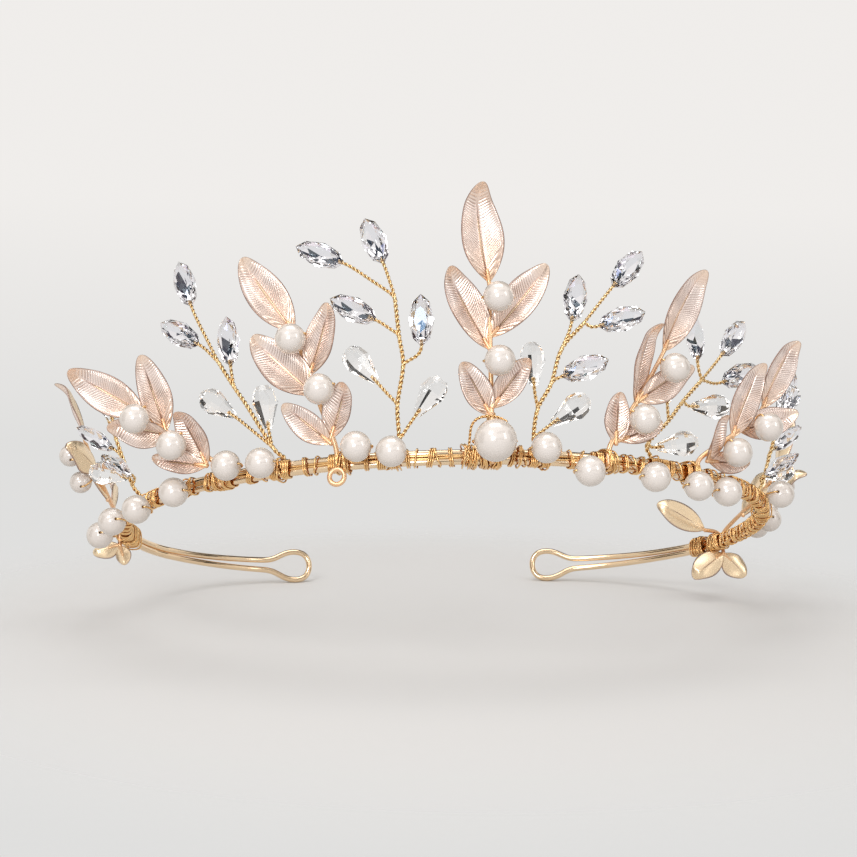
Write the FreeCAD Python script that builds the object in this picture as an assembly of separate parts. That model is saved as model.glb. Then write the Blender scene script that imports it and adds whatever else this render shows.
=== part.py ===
import FreeCAD, Part
import math
import os

# Bridal tiara: a springy double-wire band with hairpin ends, dressed with cast leaf sprigs,
# twisted crystal branches and pearls, all bound on with fine wire.
#
# All lengths in millimetres. The row frame has +Z up and the forehead side towards -Y.
# Everything is laid out in the flat band frame first: u to the viewer's right, v to the back
# and w square to the band, and the whole tiara is tipped by BAND_PITCH at the end, as it sits
# on a head. A station is an arc length along the band from the forehead centre, negative on
# the viewer's left.

# Band
BAND_PITCH = 21.0
FRONT_RADIUS, FRONT_SWEEP = 80.0, 43.0
SIDE_RADIUS, SIDE_SWEEP = 61.0, 58.0
TAIL_RADIUS, TAIL_SWEEP = 43.0, 70.0
BAND_CURVES = ((FRONT_RADIUS, FRONT_SWEEP), (SIDE_RADIUS, SIDE_SWEEP), (TAIL_RADIUS, TAIL_SWEEP))
BAND_DEPTH_TO_CENTRE = 57.0
FRAME_WIRE_R = 0.75
FRAME_WIRE_HALF_GAP = 0.77
LEFT_HINGE, RIGHT_HINGE = -121.8, 136.5
HINGE_GAP = 0.5

# Arm ends: the two runs open out into a teardrop eye for a hair pin
ARM_RUN_STATIONS = (130.0, 140.0, 148.0, 156.0)
ARM_OPEN_HALF_GAP = 0.95
LOOP_START, LOOP_WIDE, LOOP_END = 171.5, 176.6, 180.9
LOOP_NECK_HALF, LOOP_HALF_HEIGHT = 1.35, 3.45
LOOP_NECK_BEND_R, LOOP_BEND_R = 9.0, 2.2

# Fine wire work
STRAND_R = 0.35
BINDING_THICKNESS = 0.35
FIT_GAP = 0.04
WRAP_WIDTH = 1.2
WRAP_PITCH = 4.0
BINDING_WIDTH = 1.5
END_COILS, END_COIL_WIDTH = (1.4, 3.3), 1.8
STRAP_HALF = 1.1
CORE_DEPTH = 1.2
CORE_HEIGHT = FRAME_WIRE_HALF_GAP + FRAME_WIRE_R + FIT_GAP

# Leaf sprigs
STEM_R = 0.6
STEM_OUT = CORE_DEPTH + STEM_R + FIT_GAP
STEM_FOOT = -1.6
LEAF_THICKNESS = 0.7
LEAF_BOW_R = 26.0
PETIOLE_R = 0.5
EYELET_R, EYELET_WIRE_R = 1.5, 0.5
EYELET_SPRIG = "front_left"
EYELET_DROP, EYELET_OUT = 3.2, STEM_OUT + 0.35

# Pearls and stones
PEARL_D = 6.0
SMALL_PEARL_D = 5.0
CENTRE_PEARL_D = 8.2
PEARL_HOLE_R = 0.35
PEARL_WIRE_R = 0.25
PEARL_WIRE_OFF = 0.5
PEARL_STANDOFF = 0.2
PEARL_WIRE_BEND = 0.5
PEARL_WIRE_STEP, PEARL_WIRE_END = 30.0, 84.0
CRYSTAL_LENGTH, CRYSTAL_WIDTH, CRYSTAL_DEPTH = 10.4, 5.2, 3.4
BEAD_LENGTH, BEAD_WIDTH = 8.6, 5.6
BEAD_SIDES = 8
BEAD_NECK_R = 1.0
STONE_HOLE_R = 0.45
STONE_HOLE_DEPTH = 2.0
TWIG_R = 0.36
TWIG_SEAT = 1.4
TRUNK_R = 0.42
TRUNK_BEND = 1.4
TRUNK_BACK = -(CORE_DEPTH + TRUNK_R + FIT_GAP)

# Leaf sprigs, one row each: station, turn towards the front, outward splay, stem lean, stem length.
# Angles in degrees; a lean is measured from the band's up direction towards the viewer's right.
SPRIGS = {
    "centre": (0.0, 0.0, 7.0, 0.0, 34.5),
    "front_left": (-29.5, 0.0, 7.0, -16.0, 28.0),
    "front_right": (23.5, 0.0, 7.0, 29.0, 27.0),
    "side_left": (-55.0, 22.0, 16.0, -47.0, 20.5),
    "side_right": (46.0, -4.0, 14.0, 48.0, 24.0),
    "back_left": (-115.2, 0.0, 18.0, 40.0, 25.0),
    "back_right": (127.5, 0.0, 18.0, -50.0, 25.0),
}

# Leaves of each sprig: distance up the stem, direction, length, width, outward tilt
SPRIG_LEAVES = {
    "centre": [
        (34.0, -7, 19.5, 8.6, 5), (20.5, -29, 18.0, 7.2, 8), (23.0, 39, 18.0, 7.0, 8),
        (7.5, -30, 12.0, 5.8, 10), (9.0, 37, 12.0, 5.6, 10),
    ],
    "front_left": [
        (27.5, -32, 18.2, 8.0, 5), (14.0, -44, 17.0, 8.2, 8), (18.0, 22, 14.8, 6.4, 8),
        (2.5, -47, 12.2, 5.6, 10), (4.5, 22, 11.6, 5.6, 10),
    ],
    "front_right": [
        (26.5, 26, 19.6, 7.4, 5), (13.0, 10, 17.2, 6.8, 8), (14.0, 54, 14.0, 6.2, 8),
        (3.0, -2, 10.4, 5.4, 10), (4.5, 66, 10.0, 5.4, 10),
    ],
    "side_left": [
        (20.0, -56, 17.5, 7.6, 6), (13.0, -75, 13.0, 6.4, 8), (14.5, -13, 16.2, 6.4, 6),
        (2.5, -78, 11.0, 5.0, 10), (3.5, -22, 12.5, 6.2, 10),
    ],
    "side_right": [
        (23.5, 22, 16.8, 7.2, 6), (12.5, 16, 17.0, 6.8, 6), (15.0, 68, 14.5, 6.6, 12),
        (3.0, 8, 10.5, 5.2, 10), (4.0, 86, 9.4, 5.0, 12),
    ],
    "back_left": [
        (24.5, -4, 16.0, 6.8, 4), (17.0, 70, 12.5, 6.2, 12), (9.0, 18, 13.0, 6.4, 4),
        (6.0, -44, 12.0, 6.2, -10),
    ],
    "back_right": [
        (24.5, 4, 16.0, 6.8, 4), (17.0, -70, 12.5, 6.2, 12), (9.0, -18, 13.0, 6.4, 4),
    ],
}

# Leaves bent down round a back sprig's foot until their backs face the front: distance out from
# the band, drop below it, direction from up towards the viewer's left, length, width
LOW_LEAVES = {
    "back_left": [(STEM_OUT, 2.7, 106, 6.4, 4.2), (STEM_OUT, 2.7, -164, 4.8, 3.6)],
    "back_right": [
        (-3.4, -2.9, 58, 13.5, 7.0), (STEM_OUT, 2.7, 126, 10.0, 6.4), (STEM_OUT, 2.7, -138, 8.0, 5.8),
    ],
}

# Pearls of each sprig: distance up the stem, offset to the viewer's right, diameter
SPRIG_PEARLS = {
    "centre": [(30.0, 1.0, PEARL_D), (17.5, 1.0, PEARL_D)],
    "front_left": [(25.0, 0.0, PEARL_D), (13.5, 2.2, PEARL_D)],
    "front_right": [(22.5, 1.8, PEARL_D), (9.5, 1.0, PEARL_D)],
    "side_left": [(20.0, -1.0, PEARL_D), (10.8, -0.4, PEARL_D)],
    "side_right": [(18.5, 1.4, PEARL_D), (8.0, 0.6, PEARL_D)],
    "back_left": [(22.5, 0.0, SMALL_PEARL_D), (15.5, 0.0, SMALL_PEARL_D)],
    "back_right": [(21.0, 0.0, SMALL_PEARL_D), (14.0, 0.0, SMALL_PEARL_D)],
}

# Pearls wired straight to the band: station, rise above the band's centre line
BAND_PEARLS = {
    "left": [(-18.6, 0.2), (-25.0, 1.6), (-43.5, 0.4), (-51.0, 1.0), (-64.0, -2.2), (-76.0, -3.4),
             (-88.0, -3.4), (-104.0, -2.8)],
    "right": [(9.4, 0.6), (17.6, -3.6), (31.5, -3.6), (42.2, -4.2), (50.6, -4.2), (76.0, 0.0),
              (110.5, 2.2), (117.4, 2.2)],
}

# Crystal branches: station, outward splay, trunk points and twigs. A trunk point and a twig
# point are (sideways, up) in the branch's own plane. A twig is the trunk point that it leaves,
# the middle of its stone, the stone's direction, the stone's outward tilt and its kind.
BRANCHES = {
    "front_left": (-20.0, 4.0, [(2.0, 4.0), (2.0, 11.0), (3.4, 19.0), (2.8, 25.0), (2.2, 33.0)], [
        (1, (-4.8, 19.4), -40, 4, "bead"), (0, (8.4, 12.2), 40, 8, "bead"),
        (2, (7.4, 27.8), 2, 8, "crystal"), (3, (-6.2, 31.0), -62, 6, "crystal"),
        (4, (-12.6, 42.8), -68, 8, "crystal"), (4, (-1.6, 45.0), -20, 2, "crystal"),
    ]),
    "front_right": (9.5, 4.0, [(-0.4, 4.0), (0.6, 10.0), (3.6, 15.4), (6.0, 22.6), (10.8, 28.2)], [
        (1, (0.0, 19.4), 0, -8, "bead"), (0, (7.2, 10.0), 54, 8, "bead"),
        (2, (10.6, 18.8), 69, 8, "crystal"), (3, (9.2, 33.4), 10, 0, "crystal"),
        (4, (20.6, 40.2), 40, 2, "crystal"), (4, (18.8, 29.4), 72, 8, "crystal"),
    ]),
    "side_left": (-42.0, 5.0, [(-2.4, 5.0), (-8.0, 14.4), (-10.6, 18.4), (-14.0, 24.0)], [
        (0, (-14.6, 15.4), -53, 0, "bead"), (0, (-3.6, 13.4), -4, 4, "bead"),
        (2, (-11.4, 28.2), 0, 6, "crystal"), (3, (-22.8, 31.6), -56, 6, "crystal"),
        (3, (-21.4, 42.2), -14, 2, "crystal"),
    ]),
    "side_right": (36.5, 5.0, [(-1.0, 5.0), (4.6, 10.4), (8.8, 15.2), (14.0, 20.4)], [
        (0, (5.8, 5.6), 78, 20, "bead"), (1, (4.6, 19.0), 2, -10, "bead"),
        (2, (15.8, 15.0), 84, 10, "bead"), (3, (12.4, 29.6), -8, 0, "crystal"),
        (3, (23.0, 31.0), 36, 6, "crystal"), (3, (24.6, 23.0), 66, 12, "crystal"),
    ]),
    "back_left": (-90.0, 24.0, [(0.0, 5.0), (0.6, 10.0), (1.4, 16.0)], [
        (0, (-5.2, 10.4), -50, 34, "bead"), (0, (6.0, 10.6), 48, 40, "crystal"),
        (1, (-4.6, 18.8), -30, 26, "crystal"), (2, (6.0, 23.6), 26, 10, "bead"),
        (2, (0.8, 27.6), -6, 2, "crystal"),
    ]),
    "back_right": (88.0, 20.0, [(0.0, 5.0), (-0.6, 10.0), (-1.4, 16.0)], [
        (0, (5.2, 10.4), 50, 34, "bead"), (0, (-6.0, 10.6), -48, 40, "crystal"),
        (1, (4.6, 18.8), 30, 26, "crystal"), (2, (-6.0, 23.6), -26, 10, "bead"),
        (2, (-0.8, 27.6), 6, 2, "crystal"),
    ]),
}


# ---------------------------------------------------------------- band geometry

def band_arcs():
    """The half band's arcs: radius, start arc length, end arc length, heading at the start."""
    arcs = []
    start, heading = 0.0, 0.0
    for radius, sweep in BAND_CURVES:
        length = math.radians(sweep) * radius
        arcs.append((radius, start, start + length, heading))
        start += length
        heading += math.radians(sweep)
    return arcs


def half_band(station):
    """Place and heading at an arc length from the forehead centre, on the right half."""
    u, v = 0.0, -BAND_DEPTH_TO_CENTRE
    heading = 0.0
    for radius, start, end, turned in band_arcs():
        run = min(station, end) - start
        if run <= 0:
            break
        heading = turned + run / radius
        u += radius * (math.sin(heading) - math.sin(turned))
        v += radius * (math.cos(turned) - math.cos(heading))
    beyond = station - band_arcs()[-1][2]
    if beyond > 0:
        u += beyond * math.cos(heading)
        v += beyond * math.sin(heading)
    return u, v, heading


def band_frame(station, turn=0.0):
    """Band point, direction to the viewer's right along the band, outward and up directions."""
    u, v, heading = half_band(abs(station))
    side = -1.0 if station < 0 else 1.0
    angle = side * heading + math.radians(turn)
    point = FreeCAD.Vector(side * u, v, 0)
    along = FreeCAD.Vector(math.cos(angle), math.sin(angle), 0)
    outward = FreeCAD.Vector(math.sin(angle), -math.cos(angle), 0)
    return point, along, outward, FreeCAD.Vector(0, 0, 1)


def at(frame, t, n, w):
    """A point from its sideways, outward and up distances in a band frame."""
    point, along, outward, up = frame
    return point + along * t + outward * n + up * w


def splayed(frame, splay):
    """The same frame with its up direction leant outward."""
    point, along, outward, up = frame
    angle = math.radians(splay)
    leant_up = up * math.cos(angle) + outward * math.sin(angle)
    leant_out = outward * math.cos(angle) - up * math.sin(angle)
    return point, along, leant_out, leant_up


# ---------------------------------------------------------------- basic solids

def ball(centre, radius):
    return Part.makeSphere(radius, centre)


def rod(start, end, radius):
    run = end - start
    return Part.makeCylinder(radius, run.Length, start, run)


def rounded_path(points, bends):
    """Straight runs joined by tangent arcs; a bend is cut down where a run is too short for it."""
    edges = []
    last = points[0]
    for before, corner, after, bend in zip(points, points[1:], points[2:], bends):
        back = before - corner
        ahead = after - corner
        turn = math.pi - back.getAngle(ahead)
        reach = 0.45 * min(back.Length, ahead.Length)
        radius = min(bend, reach / math.tan(turn / 2))
        cut = radius * math.tan(turn / 2)
        back.normalize()
        ahead.normalize()
        first, second = corner + back * cut, corner + ahead * cut
        inward = back + ahead
        inward.normalize()
        middle = corner + inward * (radius / math.cos(turn / 2) - radius)
        edges.append(Part.LineSegment(last, first).toShape())
        edges.append(Part.Arc(first, middle, second).toShape())
        last = second
    edges.append(Part.LineSegment(last, points[-1]).toShape())
    return Part.Wire(edges)


def swept(path, start, direction, radius):
    section = Part.Wire([Part.makeCircle(radius, start, direction)])
    return path.makePipeShell([section], True, False)


def tube(points, radius, bends):
    return swept(rounded_path(points, bends), points[0], points[1] - points[0], radius)


def placed(shape, origin, x_axis, z_axis):
    """Move a shape from its own axes to a place, with its X and Z along given directions."""
    z = FreeCAD.Vector(z_axis)
    z.normalize()
    y = z.cross(x_axis)
    y.normalize()
    x = y.cross(z)
    matrix = FreeCAD.Matrix(
        x.x, y.x, z.x, origin.x,
        x.y, y.y, z.y, origin.y,
        x.z, y.z, z.z, origin.z,
        0, 0, 0, 1)
    return shape.transformed(matrix, True)


def joined(shapes):
    solid = shapes[0]
    for shape in shapes[1:]:
        solid = solid.fuse(shape)
    return solid


# ---------------------------------------------------------------- band and arms

def lengthwise_wire(first, last, outward, rise, radius):
    """A wire that follows the band from one station to another, at an offset from it."""
    breaks = [end for _, _, end, _ in band_arcs()]
    joints = [-place for place in reversed(breaks)] + [0.0] + breaks
    stations = [first] + [place for place in joints if first < place < last] + [last]
    edges = []
    for near, far in zip(stations, stations[1:]):
        places = (near, (near + far) / 2, far)
        edges.append(Part.Arc(*[at(band_frame(place), 0, outward, rise) for place in places]).toShape())
    start = band_frame(stations[0])
    return swept(Part.Wire(edges), at(start, 0, outward, rise), start[1], radius)


def band_wire(rise):
    """One frame wire of the dressed band, from hinge to hinge."""
    half = HINGE_GAP / 2
    return lengthwise_wire(LEFT_HINGE + half, RIGHT_HINGE - half, 0, rise, FRAME_WIRE_R)


def strand(outward):
    """A stem wire laid in the groove between the two frame wires, on one side of the band."""
    return lengthwise_wire(LEFT_HINGE + 3.0, RIGHT_HINGE - 3.0, outward, 0, STRAND_R)


def arm_wire(hinge):
    """A bare arm: one wire out along the band, round the teardrop eye and back beneath itself."""
    side = math.copysign(1, hinge)
    start = abs(hinge) + HINGE_GAP / 2
    upper = [(start, FRAME_WIRE_HALF_GAP)]
    upper += [(station, FRAME_WIRE_HALF_GAP) for station in ARM_RUN_STATIONS[:-1] if station > start + 4]
    upper += [(ARM_RUN_STATIONS[-1], ARM_OPEN_HALF_GAP), (LOOP_START, LOOP_NECK_HALF)]
    upper += [(LOOP_WIDE, LOOP_HALF_HEIGHT), (LOOP_END, LOOP_HALF_HEIGHT * 0.82)]
    lower = [(station, -rise) for station, rise in reversed(upper)]
    points = [at(band_frame(side * station), 0, 0, rise) for station, rise in upper + lower]
    bends = [TAIL_RADIUS] * (len(upper) - 4) + [LOOP_NECK_BEND_R, LOOP_BEND_R, LOOP_BEND_R]
    return tube(points, FRAME_WIRE_R, bends + bends[::-1])


def in_band_frame(shape, station):
    """Move a shape from X along, Y outward and Z up to its station on the band."""
    point, along, outward, up = band_frame(station)
    matrix = FreeCAD.Matrix(
        along.x, outward.x, up.x, point.x,
        along.y, outward.y, up.y, point.y,
        along.z, outward.z, up.z, point.z,
        0, 0, 0, 1)
    return shape.transformed(matrix, True)


def block(low, high):
    return Part.makeBox(high[0] - low[0], high[1] - low[1], high[2] - low[2], FreeCAD.Vector(*low))


def coil(middle, width):
    """A short oval coil of binding wire round the band, as one closed sleeve."""
    thick = BINDING_THICKNESS
    near, far = middle - width / 2, middle + width / 2
    depth, height = CORE_DEPTH + thick, CORE_HEIGHT + thick
    outer = block((near, -depth, -height), (far, depth, height))
    inner = block((near, -CORE_DEPTH, -CORE_HEIGHT), (far, CORE_DEPTH, CORE_HEIGHT))
    edges = [edge for edge in outer.Edges if abs(edge.tangentAt(edge.FirstParameter).x) > 0.9]
    return outer.makeFillet(0.9 * thick, edges).cut(inner)


def wrap(station, width):
    return in_band_frame(coil(0, width), station)


def stem_binding(station, side, stem_r):
    """Two coils, one each side of a stem, with a strap of wire across it. Side 1 is outside."""
    thick = BINDING_THICKNESS
    edge = stem_r + FIT_GAP
    face = CORE_DEPTH + 2 * edge
    middle = edge + BINDING_WIDTH / 2
    solid = coil(-middle, BINDING_WIDTH).fuse(coil(middle, BINDING_WIDTH))
    pieces = [((-edge - thick, face), (edge + thick, face + thick))]
    pieces += [((-edge - thick, CORE_DEPTH + thick / 2), (-edge, face + thick / 2))]
    pieces += [((edge, CORE_DEPTH + thick / 2), (edge + thick, face + thick / 2))]
    for low, high in pieces:
        near, far = sorted((side * low[1], side * high[1]))
        solid = solid.fuse(block((low[0], near, -STRAP_HALF), (high[0], far, STRAP_HALF)))
    return in_band_frame(solid.removeSplitter(), station)


# ---------------------------------------------------------------- leaf sprigs

def vesica_prism(length, width, depth):
    """A pointed oval from x = 0 to x = length, extruded evenly about z = 0."""
    low = FreeCAD.Vector(0, 0, -depth / 2)
    tip = FreeCAD.Vector(length, 0, -depth / 2)
    right = FreeCAD.Vector(length / 2, width / 2, -depth / 2)
    left = FreeCAD.Vector(length / 2, -width / 2, -depth / 2)
    outline = Part.Wire([Part.Arc(low, right, tip).toShape(), Part.Arc(tip, left, low).toShape()])
    return Part.Face(outline).extrude(FreeCAD.Vector(0, 0, depth))


def leaf(base, direction, facing, length, width):
    """A thin spoon-shaped leaf with its hollow towards its facing side."""
    outline = vesica_prism(length, width, 8.0)
    drop = math.sqrt(LEAF_BOW_R ** 2 - (length / 2) ** 2)
    centre = FreeCAD.Vector(length / 2, 0, drop)
    half = LEAF_THICKNESS / 2
    shell = Part.makeSphere(LEAF_BOW_R + half, centre).cut(Part.makeSphere(LEAF_BOW_R - half, centre))
    blade = outline.common(shell)
    return placed(blade, base, direction, facing)


def in_plane(frame, angle):
    """A direction in a frame's sideways and up plane, at an angle from its up direction."""
    _, along, _, up = frame
    turn = math.radians(angle)
    return along * math.sin(turn) + up * math.cos(turn)


def sprig_axes(name):
    """A sprig's tilted frame, its foot, its stem direction and its sideways direction."""
    station, turn, splay, lean, _ = SPRIGS[name]
    frame = splayed(band_frame(station, turn), splay)
    foot = at(band_frame(station), 0, STEM_OUT, 0)
    stem = in_plane(frame, lean)
    side = in_plane(frame, lean + 90)
    return frame, foot, stem, side


def leaf_sprig(name):
    """One cast sprig: eyelet, stem and leaves."""
    length = SPRIGS[name][4]
    frame, foot, stem, _ = sprig_axes(name)
    facing = frame[2]
    up = FreeCAD.Vector(0, 0, 1)
    heel = foot + up * STEM_FOOT
    shoulder = foot + up * (CORE_HEIGHT + 0.6)
    rise = shoulder + stem * 3.0
    top = foot + stem * length
    shapes = []
    for first, second in ((heel, shoulder), (shoulder, rise), (rise, top)):
        shapes += [rod(first, second, STEM_R), ball(second, STEM_R)]
    band = band_frame(SPRIGS[name][0])
    if name == EYELET_SPRIG:
        centre = at(band, 0, EYELET_OUT, -EYELET_DROP)
        shapes.append(Part.makeTorus(EYELET_R, EYELET_WIRE_R, centre, band[2]))
    for distance, angle, leaf_length, width, tilt in SPRIG_LEAVES[name]:
        flat = in_plane(frame, angle)
        lift = math.radians(tilt)
        direction = flat * math.cos(lift) + facing * math.sin(lift)
        normal = facing * math.cos(lift) - flat * math.sin(lift)
        start = foot + stem * max(distance, 3.6) if distance > 0 else foot + up * distance
        shapes.append(leaf(start, direction, normal, leaf_length, width))
        shapes.append(rod(start, start + direction * 2.6 - normal * 0.25, PETIOLE_R))
    for out, drop, angle, leaf_length, width in LOW_LEAVES.get(name, []):
        base = at(band, 0, out, -drop)
        turn = math.radians(angle)
        direction = FreeCAD.Vector(-math.sin(turn), 0, math.cos(turn))
        normal = FreeCAD.Vector(0, 1, 0)
        below = foot - up * drop
        shapes += [rod(heel, below, PETIOLE_R), ball(below, PETIOLE_R)]
        if out < 0:
            shapes += [rod(below, base, PETIOLE_R), ball(base, PETIOLE_R)]
        shapes.append(leaf(base, direction, normal, leaf_length, width))
        shapes.append(rod(base, base + direction * 2.6 - normal * 0.25, PETIOLE_R))
    return joined(shapes)


# ---------------------------------------------------------------- pearls

def pearl(centre, hole_axis, diameter):
    """A drilled ball, turned about its hole from the half outline beside it."""
    radius = diameter / 2
    across = hole_axis.cross(FreeCAD.Vector(0, 0, 1))
    across.normalize()
    half = hole_axis * math.sqrt(radius ** 2 - PEARL_HOLE_R ** 2)
    wall = centre + across * PEARL_HOLE_R
    outside = Part.Arc(wall - half, centre + across * radius, wall + half).toShape()
    inside = Part.LineSegment(wall + half, wall - half).toShape()
    outline = Part.Face(Part.Wire([outside, inside]))
    return outline.revolve(centre, hole_axis, 360)


def wire_reach(diameter):
    """How far behind a pearl's centre its wire's ends lie."""
    return (diameter / 2 + PEARL_WIRE_OFF) / math.cos(math.radians(PEARL_WIRE_STEP / 2))


def pearl_wire(centre, hole_axis, facing, diameter):
    """A fine wire threaded through a pearl, bent round its back on both sides to meet behind."""
    radius = wire_reach(diameter)
    half = []
    for angle in (0, PEARL_WIRE_STEP, 2 * PEARL_WIRE_STEP, PEARL_WIRE_END):
        turn = math.radians(angle)
        half.append((radius * math.cos(turn), -radius * math.sin(turn)))
    places = half[::-1] + [(-side, back) for side, back in half]
    points = [centre + hole_axis * side + facing * back for side, back in places]
    return tube(points, PEARL_WIRE_R, [PEARL_WIRE_BEND] * (len(points) - 2))


def sprig_pearl_places(name):
    frame, foot, stem, side = sprig_axes(name)
    facing = frame[2]
    places = []
    for distance, offset, diameter in SPRIG_PEARLS[name]:
        lift = STEM_R + PEARL_WIRE_R + PEARL_STANDOFF + wire_reach(diameter)
        places.append((foot + stem * distance + side * offset + facing * lift, side, facing, diameter))
    return places


def band_pearl_places(name):
    places = []
    out = CORE_DEPTH + BINDING_THICKNESS + FIT_GAP + PEARL_WIRE_R + wire_reach(PEARL_D)
    for station, rise in BAND_PEARLS[name]:
        frame = band_frame(station)
        places.append((at(frame, 0, out, rise), frame[1], frame[2], PEARL_D))
    return places


def centre_pearl_place():
    frame = band_frame(0.0)
    strap = CORE_DEPTH + 2 * (STEM_R + FIT_GAP) + BINDING_THICKNESS
    out = strap + FIT_GAP + PEARL_WIRE_R + wire_reach(CENTRE_PEARL_D)
    return at(frame, -0.4, out, 1.2), frame[1], frame[2], CENTRE_PEARL_D


# ---------------------------------------------------------------- crystal branches

def crystal():
    """A navette stone along X, pointed at both ends, with a blind wire hole at its near end."""
    plan = vesica_prism(CRYSTAL_LENGTH, CRYSTAL_WIDTH, CRYSTAL_WIDTH)
    side = vesica_prism(CRYSTAL_LENGTH, CRYSTAL_DEPTH, 2 * CRYSTAL_WIDTH)
    side.rotate(FreeCAD.Vector(0, 0, 0), FreeCAD.Vector(1, 0, 0), 90)
    stone = plan.common(side)
    hole = rod(FreeCAD.Vector(-1, 0, 0), FreeCAD.Vector(STONE_HOLE_DEPTH, 0, 0), STONE_HOLE_R)
    return stone.cut(hole)


def bead():
    """A faceted drop bead along X with a blind wire hole at its near end."""
    rings = []
    for distance, radius in ((0, BEAD_NECK_R), (0.45, BEAD_WIDTH / 2), (1, BEAD_NECK_R)):
        corners = []
        for step in range(BEAD_SIDES + 1):
            angle = 2 * math.pi * step / BEAD_SIDES
            across = radius * math.cos(angle)
            through = radius * math.sin(angle)
            corners.append(FreeCAD.Vector(distance * BEAD_LENGTH, across, through))
        rings.append(Part.makePolygon(corners))
    stone = Part.makeLoft(rings, True, True)
    hole = rod(FreeCAD.Vector(-1, 0, 0), FreeCAD.Vector(STONE_HOLE_DEPTH, 0, 0), STONE_HOLE_R)
    return stone.cut(hole)


STONE_MAKERS = {"crystal": (crystal, CRYSTAL_LENGTH), "bead": (bead, BEAD_LENGTH)}


def branch_axes(name):
    station, splay, _, _ = BRANCHES[name]
    return splayed(band_frame(station), splay)


def branch_point(name, sideways, height):
    """A point of a branch's plane, which starts behind the band and passes over it."""
    frame = branch_axes(name)
    return at(frame, sideways, TRUNK_BACK, height)


def stone_axes(name, twig):
    """The near end of a twig's stone, its direction and its face direction."""
    _, centre, angle, tilt, kind = twig
    frame = branch_axes(name)
    lift = math.radians(tilt)
    flat = in_plane(frame, angle)
    direction = flat * math.cos(lift) + frame[2] * math.sin(lift)
    facing = frame[2] * math.cos(lift) - flat * math.sin(lift)
    length = STONE_MAKERS[kind][1]
    near = branch_point(name, *centre) - flat * (length / 2)
    return near, direction, facing


def branch_stones(name, kind):
    maker = STONE_MAKERS[kind][0]
    stones = []
    for twig in BRANCHES[name][3]:
        if twig[4] == kind:
            near, direction, facing = stone_axes(name, twig)
            stones.append(placed(maker(), near, direction, facing))
    return stones


def branch_wire(name):
    """The twisted stem with its twigs, as one plain wire tree."""
    station, _, trunk, twigs = BRANCHES[name]
    flat_frame = band_frame(station)
    foot = at(flat_frame, 0, TRUNK_BACK, -1.4)
    knee = at(flat_frame, 0, TRUNK_BACK, CORE_HEIGHT + 1.0)
    points = [foot, knee] + [branch_point(name, *place) for place in trunk]
    shapes = [tube(points, TRUNK_R, [TRUNK_BEND] * len(trunk)), ball(points[-1], TRUNK_R)]
    for twig in twigs:
        near, direction, _ = stone_axes(name, twig)
        start = branch_point(name, *trunk[twig[0]])
        bend = near - direction * 1.2
        shapes += [rod(start, bend, TWIG_R), ball(bend, TWIG_R), rod(bend, near + direction * TWIG_SEAT, TWIG_R)]
    return joined(shapes)


# ---------------------------------------------------------------- assembly

def wrap_stations():
    """Stations of the plain cross wraps: evenly spaced, left out where a stem is bound on."""
    stems = [SPRIGS[name][0] for name in SPRIGS] + [BRANCHES[name][0] for name in BRANCHES]
    first, last = (int(hinge / WRAP_PITCH) for hinge in (LEFT_HINGE + 6.0, RIGHT_HINGE - 6.0))
    stations = [index * WRAP_PITCH for index in range(first, last + 1)]
    return [station for station in stations if min(abs(station - stem) for stem in stems) > 3.0]


def pearl_nodes(nodes, pearls_node, wires_node, places):
    nodes[pearls_node] = [pearl(centre, axis, size) for centre, axis, _, size in places]
    nodes[wires_node] = [pearl_wire(*place) for place in places]


def build():
    nodes = {
        "band_wire_upper": [band_wire(FRAME_WIRE_HALF_GAP)],
        "band_wire_lower": [band_wire(-FRAME_WIRE_HALF_GAP)],
        "left_arm_wire": [arm_wire(LEFT_HINGE)],
        "right_arm_wire": [arm_wire(RIGHT_HINGE)],
    }
    groove = math.sqrt((FRAME_WIRE_R + STRAND_R + 0.01) ** 2 - FRAME_WIRE_HALF_GAP ** 2)
    nodes["band_strand_front"] = [strand(groove)]
    nodes["band_strand_back"] = [strand(-groove)]
    nodes["band_cross_wraps"] = [wrap(station, WRAP_WIDTH) for station in wrap_stations()]
    for side, label, hinge in ((-1, "left", LEFT_HINGE), (1, "right", RIGHT_HINGE)):
        ends = [hinge - side * back for back in END_COILS]
        nodes["end_binding_" + label] = [wrap(station, END_COIL_WIDTH) for station in ends]
        sprigs = [SPRIGS[name][0] for name in SPRIGS if SPRIGS[name][0] * side > 0]
        nodes["sprig_bindings_" + label] = [stem_binding(station, 1, STEM_R) for station in sprigs]
        branches = [BRANCHES[name][0] for name in BRANCHES if BRANCHES[name][0] * side > 0]
        nodes["branch_bindings_" + label] = [stem_binding(station, -1, TRUNK_R) for station in branches]
        pearl_nodes(nodes, "band_pearls_" + label, "band_pearl_wires_" + label, band_pearl_places(label))
    nodes["sprig_binding_centre"] = [stem_binding(0.0, 1, STEM_R)]
    pearl_nodes(nodes, "centre_pearl", "centre_pearl_wire", [centre_pearl_place()])

    for name in SPRIGS:
        nodes["leaf_sprig_" + name] = [leaf_sprig(name)]
        pearl_nodes(nodes, "sprig_pearls_" + name, "pearl_wires_" + name, sprig_pearl_places(name))

    for name in BRANCHES:
        nodes["branch_wire_" + name] = [branch_wire(name)]
        nodes["crystals_" + name] = branch_stones(name, "crystal")
        nodes["drop_beads_" + name] = branch_stones(name, "bead")
    return nodes


def main():
    os.makedirs("parts", exist_ok=True)
    for name, solids in build().items():
        shape = solids[0] if len(solids) == 1 else Part.makeCompound(solids)
        shape.rotate(FreeCAD.Vector(0, 0, 0), FreeCAD.Vector(1, 0, 0), -BAND_PITCH)
        shape.exportStep("parts/" + name + ".step")
        print(name, len(shape.Solids), "solids", round(shape.Volume, 1), "mm3", "valid", shape.isValid())


main()
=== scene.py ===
import math
import random

import bpy
import numpy as np
from mathutils import Matrix, Vector

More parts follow.
